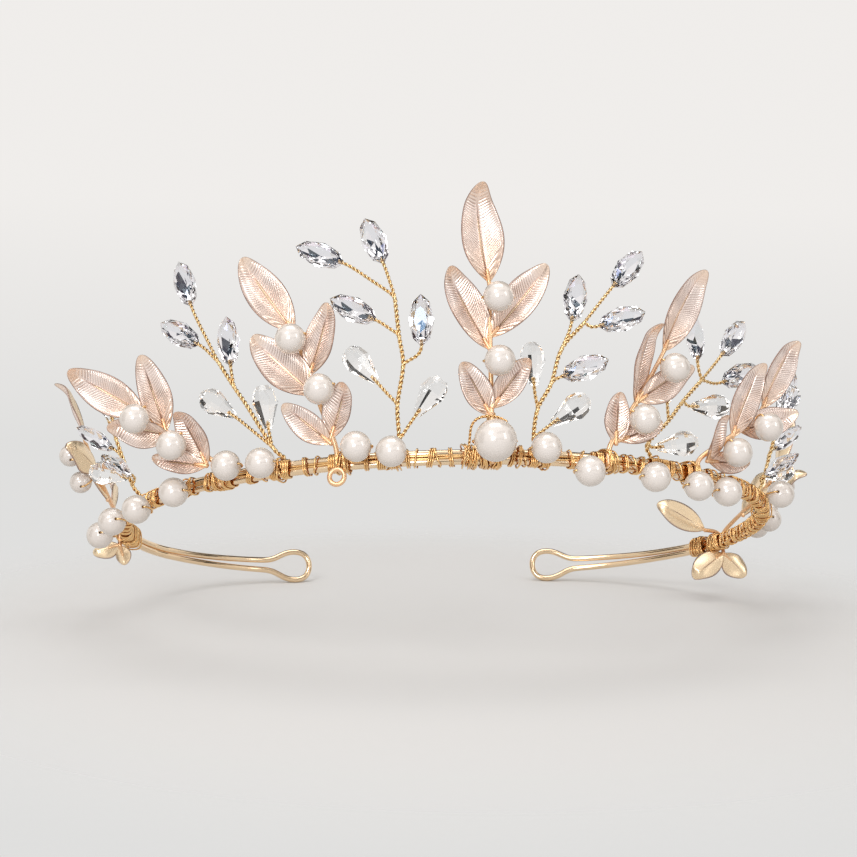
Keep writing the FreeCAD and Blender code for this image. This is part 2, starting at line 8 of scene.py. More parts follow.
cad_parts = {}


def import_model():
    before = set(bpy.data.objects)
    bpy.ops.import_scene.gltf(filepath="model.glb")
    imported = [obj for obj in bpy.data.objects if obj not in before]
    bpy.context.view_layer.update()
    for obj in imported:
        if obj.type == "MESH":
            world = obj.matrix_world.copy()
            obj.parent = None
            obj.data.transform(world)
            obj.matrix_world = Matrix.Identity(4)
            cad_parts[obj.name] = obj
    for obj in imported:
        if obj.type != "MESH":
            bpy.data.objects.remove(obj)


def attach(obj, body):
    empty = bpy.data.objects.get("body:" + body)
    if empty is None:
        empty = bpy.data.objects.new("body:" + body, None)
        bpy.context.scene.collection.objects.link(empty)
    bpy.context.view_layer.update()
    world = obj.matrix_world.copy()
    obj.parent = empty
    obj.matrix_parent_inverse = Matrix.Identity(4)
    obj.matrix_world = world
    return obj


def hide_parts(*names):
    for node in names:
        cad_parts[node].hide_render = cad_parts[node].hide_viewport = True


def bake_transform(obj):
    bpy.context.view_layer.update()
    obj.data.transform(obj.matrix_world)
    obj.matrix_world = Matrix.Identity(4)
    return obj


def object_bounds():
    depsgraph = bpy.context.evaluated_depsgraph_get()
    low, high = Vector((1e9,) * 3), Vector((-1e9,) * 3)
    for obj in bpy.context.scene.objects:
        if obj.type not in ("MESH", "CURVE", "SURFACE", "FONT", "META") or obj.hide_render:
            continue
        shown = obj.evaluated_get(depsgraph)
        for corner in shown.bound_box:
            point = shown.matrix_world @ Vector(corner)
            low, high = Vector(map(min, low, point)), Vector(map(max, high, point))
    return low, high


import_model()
cad_low, cad_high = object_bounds()
collection = bpy.context.scene.collection

# Lengths in the layout below are millimetres in the flat band frame: u to the viewer's right,
# v to the back, w square to the band. make_piece() tips them by BAND_PITCH into the row frame
# and turns them into metres. A station is an arc length along the band from the forehead
# centre, negative on the viewer's left.
MM = 0.001
UP = np.array([0.0, 0.0, 1.0])

# Band: each arc of its right half is a radius and a sweep in degrees
BAND_PITCH = math.radians(21.0)
BAND_CURVES = ((80.0, 43.0), (61.0, 58.0), (43.0, 70.0))
BAND_DEPTH_TO_CENTRE = 57.0
FRAME_WIRE_R, FRAME_WIRE_SIDES = 0.75, 16
FRAME_WIRE_HALF_GAP = 0.77
HINGES = {"left": -121.8, "right": 136.5}
SEAM_BACK, STRAND_BACK = 3.0, 3.2
CORE_DEPTH = 1.2
CORE_HEIGHT = 1.56

# Arms: stations and rises of the upper wire, down to the tip of the pin eye
ARM_STEP = 4.0
BLEND_BEFORE, BLEND_AFTER = 1.6, 24.0
ARM_RISES = ((140, 0.77), (148, 0.8), (156, 0.95), (164, 1.15), (169, 1.25), (171.6, 1.35), (173.6, 2.2),
             (175.6, 3.35), (178.2, 3.85), (180.6, 3.3), (181.8, 1.6), (182.0, 0.0))

# Fine wire work
FINE_R = 0.17
STRAND_R = 0.2
TWIST_PITCH = 2.1
TRUNK_STRAND_R, TWIG_STRAND_R, TWIG_PITCH = 0.25, 0.2, 1.89
TRUNK_R = 0.42
TRUNK_BACK = -(CORE_DEPTH + 0.46)
TURN_POINTS = 34
TURN_SQUARENESS = 0.62
WRAP_SPACING, WRAP_FREE_OF_STEM, WRAP_FREE_OF_END = 4.0, 3.0, 6.0
STEM_COIL_OFFSET = 1.35

# Painted shade round a wire, darkest on the side turned towards the wires or band beside it: a level, and a
# slope with the cosine from the wire's reference direction
INNER_PAINTED_SHADE = (0.35, -1.1)
LOWER_PAINTED_SHADE, UPPER_PAINTED_SHADE = (-0.5, -1.6), (-0.5, 1.6)

# Stems and eyelet
STEM_R = 0.55
STEM_HALF_DEPTH = 0.64
STEM_OUT = CORE_DEPTH + STEM_HALF_DEPTH
STEM_FOOT = -1.6
EYELET_R, EYELET_WIRE_R = 1.5, 0.5
EYELET_SPRIG = "front_left"
EYELET_DROP, EYELET_OUT = 3.2, STEM_OUT + 0.35

# Leaves
LEAF_BOW_R = 26.0
LEAF_LOWEST = 3.6
CALM_ROLL, LEAF_ROLL = 10, 26
VEIN_SPACING = 0.62
VEIN_SWEEP = 0.34
ROWS_PER_VEIN = 5
VEIN_DEPTH, MIDRIB_DEPTH, GUTTER_DEPTH, RIM_HEIGHT = 0.16, 0.26, 0.06, 0.10
CURL_START = 0.80

# Pearls and stones
PEARL_D, SMALL_PEARL_D, CENTRE_PEARL_D = 6.0, 5.0, 8.2
PEARL_HOLE_R, PEARL_WIRE_R = 0.35, 0.176
PEARL_ROWS, PEARL_SIDES = 34, 44
BAND_PEARL_GAP, SPRIG_PEARL_GAP = 0.64, 1.05
CRYSTAL_LENGTH, CRYSTAL_WIDTH, CRYSTAL_DEPTH = 10.4, 5.2, 3.4
CRYSTAL_SIDES = 8
CROWN_SHARE = 0.42
BEAD_LENGTH = 8.6
BEAD_SIDES = 9
BEAD_RADII = ((0.0, 0.8), (0.62, 2.7), (0.86, 2.3), (1.0, 1.3))

# Leaf sprigs: station, turn towards the front, outward splay, stem lean, stem length
SPRIGS = {
    "centre": (0.0, 0.0, 7.0, 0.0, 34.5),
    "front_left": (-29.5, 0.0, 7.0, -16.0, 28.0),
    "front_right": (23.5, 0.0, 7.0, 29.0, 27.0),
    "side_left": (-55.0, 22.0, 16.0, -47.0, 20.5),
    "side_right": (46.0, -4.0, 14.0, 48.0, 24.0),
    "back_left": (-115.2, 0.0, 18.0, 40.0, 25.0),
    "back_right": (127.5, 0.0, 18.0, -50.0, 25.0),
}

# Leaves of each sprig: distance up the stem, direction, length, width, outward tilt
BACK_LEAVES = [(24.5, -4, 16.0, 6.8, 4), (17.0, 70, 12.5, 6.2, 12), (9.0, 18, 13.0, 6.4, 4)]
SPRIG_LEAVES = {
    "centre": [
        (34.0, -7, 19.5, 8.6, 5), (20.5, -29, 18.0, 7.2, 8), (23.0, 39, 18.0, 7.0, 8),
        (7.5, -30, 12.0, 5.8, 10), (9.0, 37, 12.0, 5.6, 10),
    ],
    "front_left": [
        (27.5, -32, 18.2, 8.0, 5), (14.0, -44, 17.0, 8.2, 8), (18.0, 22, 14.8, 6.4, 8),
        (2.5, -47, 12.2, 5.6, 10), (4.5, 22, 11.6, 5.6, 10),
    ],
    "front_right": [
        (26.5, 26, 19.6, 7.4, 5), (13.0, 10, 17.2, 6.8, 8), (14.0, 54, 14.0, 6.2, 8),
        (3.0, -2, 10.4, 5.4, 10), (4.5, 66, 10.0, 5.4, 10),
    ],
    "side_left": [
        (20.0, -56, 17.5, 7.6, 6), (13.0, -75, 13.0, 6.4, 8), (14.5, -13, 16.2, 6.4, 6),
        (2.5, -78, 11.0, 5.0, 10), (3.5, -22, 12.5, 6.2, 10),
    ],
    "side_right": [
        (23.5, 22, 16.8, 7.2, 6), (12.5, 16, 17.0, 6.8, 6), (15.0, 68, 14.5, 6.6, 12),
        (3.0, 8, 10.5, 5.2, 10), (4.0, 86, 9.4, 5.0, 12),
    ],
    "back_left": BACK_LEAVES + [(6.0, -44, 12.0, 6.2, -10)],
    "back_right": [(distance, -angle, *sizes) for distance, angle, *sizes in BACK_LEAVES],
}

# Leaves bent down round a back sprig's foot until their backs face the front: distance out from
# the band, drop below it, direction from up towards the viewer's left, length, width
LOW_LEAVES = {
    "back_left": [(STEM_OUT, 2.7, 106, 6.4, 4.2), (STEM_OUT, 2.7, -164, 4.8, 3.6)],
    "back_right": [
        (-3.4, -2.9, 58, 13.5, 7.0), (STEM_OUT, 2.7, 126, 10.0, 6.4), (STEM_OUT, 2.7, -138, 8.0, 5.8),
    ],
}

# Pearls of each sprig: distance up the stem, offset to the viewer's right
SPRIG_PEARLS = {
    "centre": [(30.0, 1.0), (17.5, 1.0)],
    "front_left": [(25.0, 0.0), (13.5, 2.2)],
    "front_right": [(22.5, 1.8), (9.5, 1.0)],
    "side_left": [(20.0, -1.0), (10.8, -0.4)],
    "side_right": [(18.5, 1.4), (8.0, 0.6)],
    "back_left": [(22.5, 0.0), (15.5, 0.0)],
    "back_right": [(21.0, 0.0), (14.0, 0.0)],
}

# Pearls wired straight to the band: station, rise above the band's centre line
BAND_PEARLS = {
    "left": [(-18.6, 0.2), (-25.0, 1.6), (-43.5, 0.4), (-51.0, 1.0), (-64.0, -2.2), (-76.0, -3.4),
             (-88.0, -3.4), (-104.0, -2.8)],
    "right": [(9.4, 0.6), (17.6, -3.6), (31.5, -3.6), (42.2, -4.2), (50.6, -4.2), (76.0, 0.0),
              (110.5, 2.2), (117.4, 2.2)],
}

# Crystal branches: station, splay, trunk points, and twigs with the trunk point each leaves,
# the middle of its stone, the stone's direction, its outward tilt and its kind
BACK_TRUNK = [(0.0, 5.0), (0.6, 10.0), (1.4, 16.0)]
BACK_TWIGS = [
    (0, (-5.2, 10.4), -50, 34, "bead"), (0, (6.0, 10.6), 48, 40, "crystal"),
    (1, (-4.6, 18.8), -30, 26, "crystal"), (2, (6.0, 23.6), 26, 10, "bead"),
    (2, (0.8, 27.6), -6, 2, "crystal"),
]
BRANCHES = {
    "front_left": (-20.0, 4.0, [(2.0, 4.0), (2.0, 11.0), (3.4, 19.0), (2.8, 25.0), (2.2, 33.0)], [
        (1, (-4.8, 19.4), -40, 4, "bead"), (0, (8.4, 12.2), 40, 8, "bead"),
        (2, (7.4, 27.8), 2, 8, "crystal"), (3, (-6.2, 31.0), -62, 6, "crystal"),
        (4, (-12.6, 42.8), -68, 8, "crystal"), (4, (-1.6, 45.0), -20, 2, "crystal"),
    ]),
    "front_right": (9.5, 4.0, [(-0.4, 4.0), (0.6, 10.0), (3.6, 15.4), (6.0, 22.6), (10.8, 28.2)], [
        (1, (0.0, 19.4), 0, -8, "bead"), (0, (7.2, 10.0), 54, 8, "bead"),
        (2, (10.6, 18.8), 69, 8, "crystal"), (3, (9.2, 33.4), 10, 0, "crystal"),
        (4, (20.6, 40.2), 40, 2, "crystal"), (4, (18.8, 29.4), 72, 8, "crystal"),
    ]),
    "side_left": (-42.0, 5.0, [(-2.4, 5.0), (-8.0, 14.4), (-10.6, 18.4), (-14.0, 24.0)], [
        (0, (-14.6, 15.4), -53, 0, "bead"), (0, (-3.6, 13.4), -4, 4, "bead"),
        (2, (-11.4, 28.2), 0, 6, "crystal"), (3, (-22.8, 31.6), -56, 6, "crystal"),
        (3, (-21.4, 42.2), -14, 2, "crystal"),
    ]),
    "side_right": (36.5, 5.0, [(-1.0, 5.0), (4.6, 10.4), (8.8, 15.2), (14.0, 20.4)], [
        (0, (5.8, 5.6), 78, 20, "bead"), (1, (4.6, 19.0), 2, -10, "bead"),
        (2, (15.8, 15.0), 84, 10, "bead"), (3, (12.4, 29.6), -8, 0, "crystal"),
        (3, (23.0, 31.0), 36, 6, "crystal"), (3, (24.6, 23.0), 66, 12, "crystal"),
    ]),
    "back_left": (-90.0, 24.0, BACK_TRUNK, BACK_TWIGS),
    "back_right": (88.0, 20.0, [(-x, y) for x, y in BACK_TRUNK],
                   [(index, (-x, y), -turn, tilt, kind) for index, (x, y), turn, tilt, kind in BACK_TWIGS]),
}


# ---- band geometry

def unit(vector):
    return vector / np.linalg.norm(vector, axis=-1, keepdims=True)


def half_band(station):
    """Place and heading at an arc length from the forehead centre, on the right half."""
    u, v, heading, start = 0.0, -BAND_DEPTH_TO_CENTRE, 0.0, 0.0
    for radius, sweep in BAND_CURVES:
        run = min(station - start, math.radians(sweep) * radius)
        if run <= 0:
            break
        turned = heading
        heading += run / radius
        u += radius * (math.sin(heading) - math.sin(turned))
        v += radius * (math.cos(turned) - math.cos(heading))
        start += math.radians(sweep) * radius
    beyond = max(0.0, station - start)
    return u + beyond * math.cos(heading), v + beyond * math.sin(heading), heading


def band_frame(station, turn=0.0):
    """Band point, direction to the viewer's right along the band, outward and up directions."""
    u, v, heading = half_band(abs(station))
    side = -1.0 if station < 0 else 1.0
    angle = side * heading + math.radians(turn)
    along = np.array([math.cos(angle), math.sin(angle), 0.0])
    outward = np.array([math.sin(angle), -math.cos(angle), 0.0])
    return np.array([side * u, v, 0.0]), along, outward, UP


def at(place, t, n, w):
    point, along, outward, up = place
    return point + along * t + outward * n + up * w


def along_band(stations, outs, rises):
    """Points beside the band, one for each station with its outward and up distances."""
    return np.array([at(band_frame(s), 0, n, w) for s, n, w in zip(stations, outs, rises)])


def splayed(place, splay):
    point, along, outward, up = place
    angle = math.radians(splay)
    leant_up = up * math.cos(angle) + outward * math.sin(angle)
    leant_out = outward * math.cos(angle) - up * math.sin(angle)
    return point, along, leant_out, leant_up


def in_plane(place, angle):
    turn = math.radians(angle)
    return place[1] * math.sin(turn) + place[3] * math.cos(turn)


def tilted(flat, facing, angle):
    """A flat direction and its facing direction, both tilted outward by an angle."""
    lift = math.radians(angle)
    return flat * math.cos(lift) + facing * math.sin(lift), facing * math.cos(lift) - flat * math.sin(lift)


def to_row(points):
    """Band frame millimetres to row frame metres."""
    x, y, z = np.asarray(points, float).reshape(-1, 3).T
    c, s = math.cos(BAND_PITCH), math.sin(BAND_PITCH)
    return np.stack([x, y * c + z * s, z * c - y * s], axis=1) * MM


# ---- mesh helpers

class Shell:
    """Points, faces and three values per point, gathered for a piece."""

    def __init__(self):
        self.points, self.faces, self.values, self.count = [], [], [], 0

    def add(self, points, faces, values=None):
        self.points.append(points)
        self.values.append(np.zeros((len(points), 3)) if values is None else values)
        self.faces += [np.asarray(group) + self.count for group in faces]
        self.count += len(points)


def make_piece(name, shell, material, smooth=True, body="dressed_band"):
    """The finished piece for a CAD node, in the row frame."""
    mesh = bpy.data.meshes.new("finished_" + name)
    points = to_row(np.concatenate(shell.points))
    corners = np.concatenate([group.ravel() for group in shell.faces])
    sizes = np.concatenate([np.full(len(group), group.shape[1]) for group in shell.faces])
    mesh.vertices.add(len(points))
    mesh.vertices.foreach_set("co", points.ravel().astype(np.float32))
    mesh.loops.add(len(corners))
    mesh.loops.foreach_set("vertex_index", corners.astype(np.int32))
    mesh.polygons.add(len(sizes))
    mesh.polygons.foreach_set("loop_start", (np.cumsum(sizes) - sizes).astype(np.int32))
    mesh.polygons.foreach_set("use_smooth", np.full(len(sizes), smooth))
    mesh.update(calc_edges=True)
    values = np.concatenate(shell.values)
    # Stored per point: share of the leaf's length, underside flag, and the share of painted shade
    for index, label in enumerate(("length_share", "back_side", "painted_shade_share")):
        if values[:, index].any():
            attribute = mesh.attributes.new(label, "FLOAT", "POINT")
            attribute.data.foreach_set("value", values[:, index].astype(np.float32))
    mesh.validate()
    mesh.materials.append(material)
    piece = bpy.data.objects.new("finished_" + name, mesh)
    collection.objects.link(piece)
    if body:
        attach(piece, body)
    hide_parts(name)
    return piece


def grid(rows, columns):
    """Faces of a grid of points, closed across its columns."""
    first = np.arange(rows - 1)[:, None] * columns
    column = np.arange(columns)[None, :]
    after = (column + 1) % columns
    corners = [first + column, first + after, first + columns + after, first + columns + column]
    return np.stack(corners, axis=-1).reshape(-1, 4)


def capped_grid(rows, columns):
    """Faces of such a grid, with a face over its first and its last row."""
    last = (rows - 1) * columns
    ends = [np.arange(columns)[::-1][None, :], np.arange(last, last + columns)[None, :]]
    return [grid(rows, columns)] + ends


def carried(path):
    """A direction square to each point of a path, carried along it without twisting."""
    ahead = unit(np.gradient(path, axis=0))
    start = np.cross(ahead[0], UP)
    if np.linalg.norm(start) < 0.1:
        start = np.cross(ahead[0], [1.0, 0.0, 0.0])
    across = [unit(start)]
    for direction in ahead[1:]:
        square = across[-1] - direction * (across[-1] @ direction)
        across.append(square / np.linalg.norm(square))
    return np.array(across)


def add_wire(shell, path, radius, reference=None, sides=8, painted_shade=None):
    """A round wire with domed ends along a path, with painted shade on one side if asked."""
    ahead = unit(np.gradient(path, axis=0))
    across = carried(path) if reference is None else reference
    across = unit(across - ahead * np.sum(across * ahead, axis=1, keepdims=True))
    third = np.cross(ahead, across)
    angle = np.linspace(0, 2 * math.pi, sides, endpoint=False)[None, :, None]
    ring = across[:, None, :] * np.cos(angle) + third[:, None, :] * np.sin(angle)
    radii = np.broadcast_to(radius, len(path))
    first, last = path[0], path[-1]
    path = np.concatenate([[first - ahead[0] * radii[0] * 0.5], path, [last + ahead[-1] * radii[-1] * 0.5]])
    ring = np.concatenate([ring[:1], ring, ring[-1:]])
    radii = np.concatenate([[radii[0] * 0.6], radii, [radii[-1] * 0.6]])
    points = (path[:, None, :] + ring * radii[:, None, None]).reshape(-1, 3)
    values = np.zeros((len(points), 3))
    # Painted shade: a stored share, strongest on the side of the wire that faces its neighbours
    if painted_shade is not None:
        level, slope = painted_shade
        values[:, 2] = np.tile(np.clip(level + slope * np.cos(angle[0, :, 0]), 0, 1), len(path))
    shell.add(points, capped_grid(len(path), sides), values)


def sampled(points, step, between):
    """A path along points, with each stretch worked out from the four points round it."""
    points = np.asarray(points, float)
    points = np.concatenate([[2 * points[0] - points[1]], points, [2 * points[-1] - points[-2]]])
    path = []
    for a, b, c, d in zip(points, points[1:], points[2:], points[3:]):
        count = max(2, int(np.linalg.norm(c - b) / step))
        t = np.linspace(0, 1, count, endpoint=False)[:, None]
        path.append(between(a, b, c, d, t))
    path.append(points[-2][None, :])
    return np.concatenate(path)


def spline(controls, step):
    """A smooth path near its control points that starts and ends at the outer two."""
    return sampled(controls, step, lambda a, b, c, d, t: (
        (1 - t) ** 3 * a + (3 * t ** 3 - 6 * t ** 2 + 4) * b
        + (3 * t + 3 * t ** 2 - 3 * t ** 3 + 1) * c + t ** 3 * d) / 6)


def through(points, step):
    """A smooth path exactly through its points."""
    return sampled(points, step, lambda a, b, c, d, t: 0.5 * (
        2 * b + (c - a) * t + (2 * a - 5 * b + 4 * c - d) * t ** 2
        + (3 * b - a - 3 * c + d) * t ** 3))


def add_twist(shell, path, strand_r, pitch, start=0.0):
    """Two strands twisted round a path."""
    runs = np.linalg.norm(np.diff(path, axis=0), axis=1)
    length = np.concatenate([[0.0], np.cumsum(runs)])
    steps = np.linspace(0, length[-1], max(4, int(length[-1] / (pitch / 12))))
    path = np.stack([np.interp(steps, length, path[:, axis]) for axis in range(3)], axis=1)
    across = carried(path)
    third = np.cross(unit(np.gradient(path, axis=0)), across)
    for strand in (0, 1):
        turn = (start + 2 * math.pi * steps / pitch + strand * math.pi)[:, None]
        radial = across * np.cos(turn) + third * np.sin(turn)
        # Painted shade on the side of each strand turned in towards the other strand
        add_wire(shell, path + radial * strand_r * 0.92, strand_r, radial, 7, INNER_PAINTED_SHADE)


# ---- materials

def set_inputs(node, settings):
    """Sets a node's inputs, each named with underscores for its spaces."""
    for label, value in settings.items():
        node.inputs[label.replace("_", " ")].default_value = value


def add_node(nodes, kind, **settings):
    node = nodes.new("ShaderNode" + kind)
    set_inputs(node, settings)
    return node


def new_material(name, **settings):
    material = bpy.data.materials.new(name)
    material.use_nodes = True
    nodes = material.node_tree.nodes
    shader = nodes["Principled BSDF"]
    set_inputs(shader, settings)
    return material, nodes, material.node_tree.links, shader


def add_noise(nodes, links, scale, detail=3.0):
    """Noise fixed to the object's own coordinates, with scale in features per metre."""
    coordinates = add_node(nodes, "TexCoord")
    noise = add_node(nodes, "TexNoise", Scale=scale, Detail=detail)
    links.new(coordinates.outputs["Object"], noise.inputs["Vector"])
    return noise


def stored_value(nodes, name):
    """A value that make_piece stores at each point."""
    attribute = add_node(nodes, "Attribute")
    attribute.attribute_name = name
    return attribute.outputs["Fac"]


def ranged(nodes, links, source, low, high):
    spread = add_node(nodes, "MapRange", To_Min=low, To_Max=high)
    links.new(source, spread.inputs["Value"])
    return spread.outputs["Result"]


def mixed(nodes, links, factor, first, second):
    """A colour between two; each is a colour or another node's output."""
    mix = add_node(nodes, "Mix")
    mix.data_type = "RGBA"
    links.new(factor, mix.inputs["Factor"])
    for socket, colour in ((mix.inputs["A"], first), (mix.inputs["B"], second)):
        if isinstance(colour, tuple):
            socket.default_value = (*colour, 1.0)
        else:
            links.new(colour, socket)
    return mix.outputs["Result"]


def add_grain(nodes, links, shader, noise, roughness, strength, distance):
    """Fine noise in the polish and, faintly, in the surface."""
    links.new(ranged(nodes, links, noise.outputs["Fac"], *roughness), shader.inputs["Roughness"])
    relief = add_node(nodes, "Bump", Strength=strength, Distance=distance)
    links.new(noise.outputs["Fac"], relief.inputs["Height"])
    links.new(relief.outputs["Normal"], shader.inputs["Normal"])


def gold(name, pale, deep, painted_shade, roughness, grain_scale, bump):
    """Plated wire: its colour and polish vary softly, and its hidden sides get painted shade, a dark colour
    standing in for the shade between wires.
    """
    material, nodes, links, shader = new_material(name, Metallic=1.0)
    broad = add_noise(nodes, links, 260.0, 2.0)
    fine = add_noise(nodes, links, grain_scale, 4.0)
    plate = mixed(nodes, links, broad.outputs["Fac"], deep, pale)
    # Painted shade: the stored share mixes the plate towards a dark colour where the wire lies against its
    # neighbours
    painted_shade_mask = stored_value(nodes, "painted_shade_share")
    links.new(mixed(nodes, links, painted_shade_mask, plate, painted_shade), shader.inputs["Base Color"])
    add_grain(nodes, links, shader, fine, roughness, bump, 0.00003)
    return material


def leaf_metal():
    """Rose gold casting: orange at the leaf's base, pale pink over its middle, pinker at its tip, satin
    gold behind, with painted shade in its veins and a painted dark edge standing in for shade and dark
    reflection."""
    material, nodes, links, shader = new_material("rose_gold_leaf", Metallic=0.70,
                                                  Specular_IOR_Level=0.8)
    ramp = add_node(nodes, "ValToRGB")
    stops = ramp.color_ramp.elements
    stops[0].color = (0.86, 0.54, 0.30, 1)
    stops[1].color = (0.95, 0.75, 0.60, 1)
    stops.new(0.16).color = (0.97, 0.76, 0.63, 1)
    stops.new(0.5).color = (0.99, 0.85, 0.78, 1)
    stops.new(0.8).color = (1.0, 0.87, 0.81, 1)
    links.new(stored_value(nodes, "length_share"), ramp.inputs["Fac"])
    broad = add_noise(nodes, links, 190.0, 2.0)
    warm = mixed(nodes, links, ranged(nodes, links, broad.outputs["Fac"], -0.6, 0.8),
                 ramp.outputs["Color"], (0.93, 0.66, 0.50))
    both = mixed(nodes, links, stored_value(nodes, "back_side"), warm, (0.88, 0.69, 0.46))
    # Painted shade: veins, midrib, gutter and a dark edge line are mixed towards dark brown by the stored
    # share
    dark = mixed(nodes, links, stored_value(nodes, "painted_shade_share"), both, (0.22, 0.10, 0.06))
    links.new(dark, shader.inputs["Base Color"])
    add_grain(nodes, links, shader, add_noise(nodes, links, 5200.0, 5.0), (0.16, 0.34), 0.25, 0.00004)
    return material


def pearl_coating():
    """Ivory pearl: a warm body with painted shade that deepens to its edge, faint paler clouds and a glossy
    coat.
    """
    material, nodes, links, shader = new_material(
        "pearl_coating", Roughness=0.27, Specular_IOR_Level=0.5, Coat_Weight=1.0, Coat_Roughness=0.13,
        Coat_IOR=1.9)
    # Painted shade: the body colour darkens and warms towards the pearl's rim as its surface turns away
    # from view
    facing = add_node(nodes, "LayerWeight", Blend=0.42)
    body = mixed(nodes, links, facing.outputs["Facing"], (0.705, 0.645, 0.60), (0.44, 0.36, 0.27))
    cloud = add_noise(nodes, links, 260.0, 1.0)
    share = ranged(nodes, links, cloud.outputs["Fac"], 0.0, 0.25)
    links.new(mixed(nodes, links, share, body, (0.76, 0.71, 0.70)), shader.inputs["Base Color"])
    return material


def cut_glass(name, tint, ior, film, coat):
    """Polished clear stone with a faint rainbow film or a clear coat, its polish not quite even."""
    material, nodes, links, shader = new_material(
        name, Base_Color=(*tint, 1.0), Transmission_Weight=1.0, IOR=ior, Thin_Film_Thickness=film,
        Thin_Film_IOR=1.56, Coat_Weight=coat, Coat_IOR=1.6, Coat_Roughness=0.02)
    fine = add_noise(nodes, links, 2600.0)
    links.new(ranged(nodes, links, fine.outputs["Fac"], 0.0, 0.03), shader.inputs["Roughness"])
    return material


FRAME_GOLD = gold("champagne_gold", (0.91, 0.72, 0.50), (0.85, 0.63, 0.40), (0.50, 0.26, 0.10),
                  (0.08, 0.17), 3000.0, 0.05)
WIRE_GOLD = gold("fine_wire_gold", (0.94, 0.67, 0.34), (0.83, 0.47, 0.17), (0.47, 0.20, 0.05),
                 (0.12, 0.24), 5000.0, 0.08)
TWIST_GOLD = gold("twisted_wire_gold", (0.93, 0.72, 0.42), (0.84, 0.58, 0.27), (0.62, 0.38, 0.15),
                  (0.10, 0.22), 5000.0, 0.08)
LEAF_GOLD = leaf_metal()
PEARL = pearl_coating()
CRYSTAL = cut_glass("clear_crystal", (0.97, 0.965, 1.0), 1.68, 290.0, 0.0)
BEAD = cut_glass("clear_bead", (0.975, 0.97, 0.965), 1.2, 0.0, 0.8)


# ---- band and arms

def band_wire(name, rise):
    stations = np.arange(HINGES["left"] + SEAM_BACK, HINGES["right"] - SEAM_BACK, 0.8)
    shell = Shell()
    path = along_band(stations, np.zeros(len(stations)), np.full(len(stations), rise))
    # Painted shade on the side of each frame wire that faces the other frame wire
    painted_shade = LOWER_PAINTED_SHADE if rise > 0 else UPPER_PAINTED_SHADE
    add_wire(shell, path, FRAME_WIRE_R, np.tile(UP, (len(path), 1)), FRAME_WIRE_SIDES, painted_shade)
    make_piece(name, shell, FRAME_GOLD)


def arm_wire(label):
    """A bare arm: out along the band, round the pin eye and back beneath itself."""
    side, hinge = math.copysign(1, HINGES[label]), abs(HINGES[label])
    level = np.arange(hinge - SEAM_BACK, ARM_RISES[0][0] - 1.0, ARM_STEP)
    upper = [(station, FRAME_WIRE_HALF_GAP) for station in level] + list(ARM_RISES)
    around = upper + [(station, -rise) for station, rise in reversed(upper[:-1])]
    controls = [at(band_frame(side * station), 0, 0, rise) for station, rise in around]
    shell = Shell()
    add_wire(shell, spline(controls, 0.35), FRAME_WIRE_R, sides=FRAME_WIRE_SIDES)
    piece = make_piece(label + "_arm_wire", shell, FRAME_GOLD, body=None)
    reach = (hinge - BLEND_BEFORE, hinge + BLEND_AFTER)
    start, end = (to_row(band_frame(side * station)[0])[0] for station in reach)
    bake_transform(piece)


def groove_strands(name, side):
    """Stem wires lying in the groove of the band, wandering over each other."""
    stations = np.arange(HINGES["left"] + STRAND_BACK, HINGES["right"] - STRAND_BACK, 0.7)
    out = math.sqrt((FRAME_WIRE_R + STRAND_R) ** 2 - FRAME_WIRE_HALF_GAP ** 2) + 0.06
    shell = Shell()
    for phase, height in ((0.0, 0.26), (2.2, -0.24)):
        wander = 0.12 * np.sin(stations / 4.3 + phase) + 0.06 * np.sin(stations / 1.9 + 2 * phase)
        outs = side * (out + 0.08 * np.cos(stations / 4.3 + phase))
        path = along_band(stations, outs, height + wander)
        add_wire(shell, path, STRAND_R, np.tile(UP, (len(path), 1)))
    make_piece(name, shell, WIRE_GOLD)


def turns(shell, station, count, pitch, lean, layer=0.0, start=0.0, bump=None):
    """Turns of fine wire round the band. A bump carries them over a stem: side, width, height."""
    sweep = np.linspace(start, start + 2 * math.pi * count, max(8, int(TURN_POINTS * count)))
    c, s = np.cos(sweep), np.sin(sweep)
    reach = FINE_R + layer
    outs = np.sign(c) * np.abs(c) ** TURN_SQUARENESS * (CORE_DEPTH + reach)
    rises = np.sign(s) * np.abs(s) ** TURN_SQUARENESS * (CORE_HEIGHT + reach)
    offsets = pitch * ((sweep - start) / (2 * math.pi) - count / 2) + lean * s
    if bump is not None:
        side, width, height = bump
        over = np.exp(-(offsets / width) ** 2) * np.clip(side * c, 0, 1) ** 0.5
        outs = outs + side * over * height
    path = along_band(station + offsets, outs, rises)
    centre = along_band(station + offsets, np.zeros(len(sweep)), np.zeros(len(sweep)))
    # Painted shade on the side of each turn that lies against the band
    add_wire(shell, path, FINE_R, path - centre, painted_shade=INNER_PAINTED_SHADE)


def wrap_stations():
    """Stations of the plain cross wraps, left out where a stem is bound on."""
    stems = [values[0] for values in (*SPRIGS.values(), *BRANCHES.values())]
    first = int((HINGES["left"] + WRAP_FREE_OF_END) / WRAP_SPACING)
    last = int((HINGES["right"] - WRAP_FREE_OF_END) / WRAP_SPACING)
    stations = [index * WRAP_SPACING for index in range(first, last + 1)]
    return [station for station in stations
            if min(abs(station - stem) for stem in stems) > WRAP_FREE_OF_STEM]


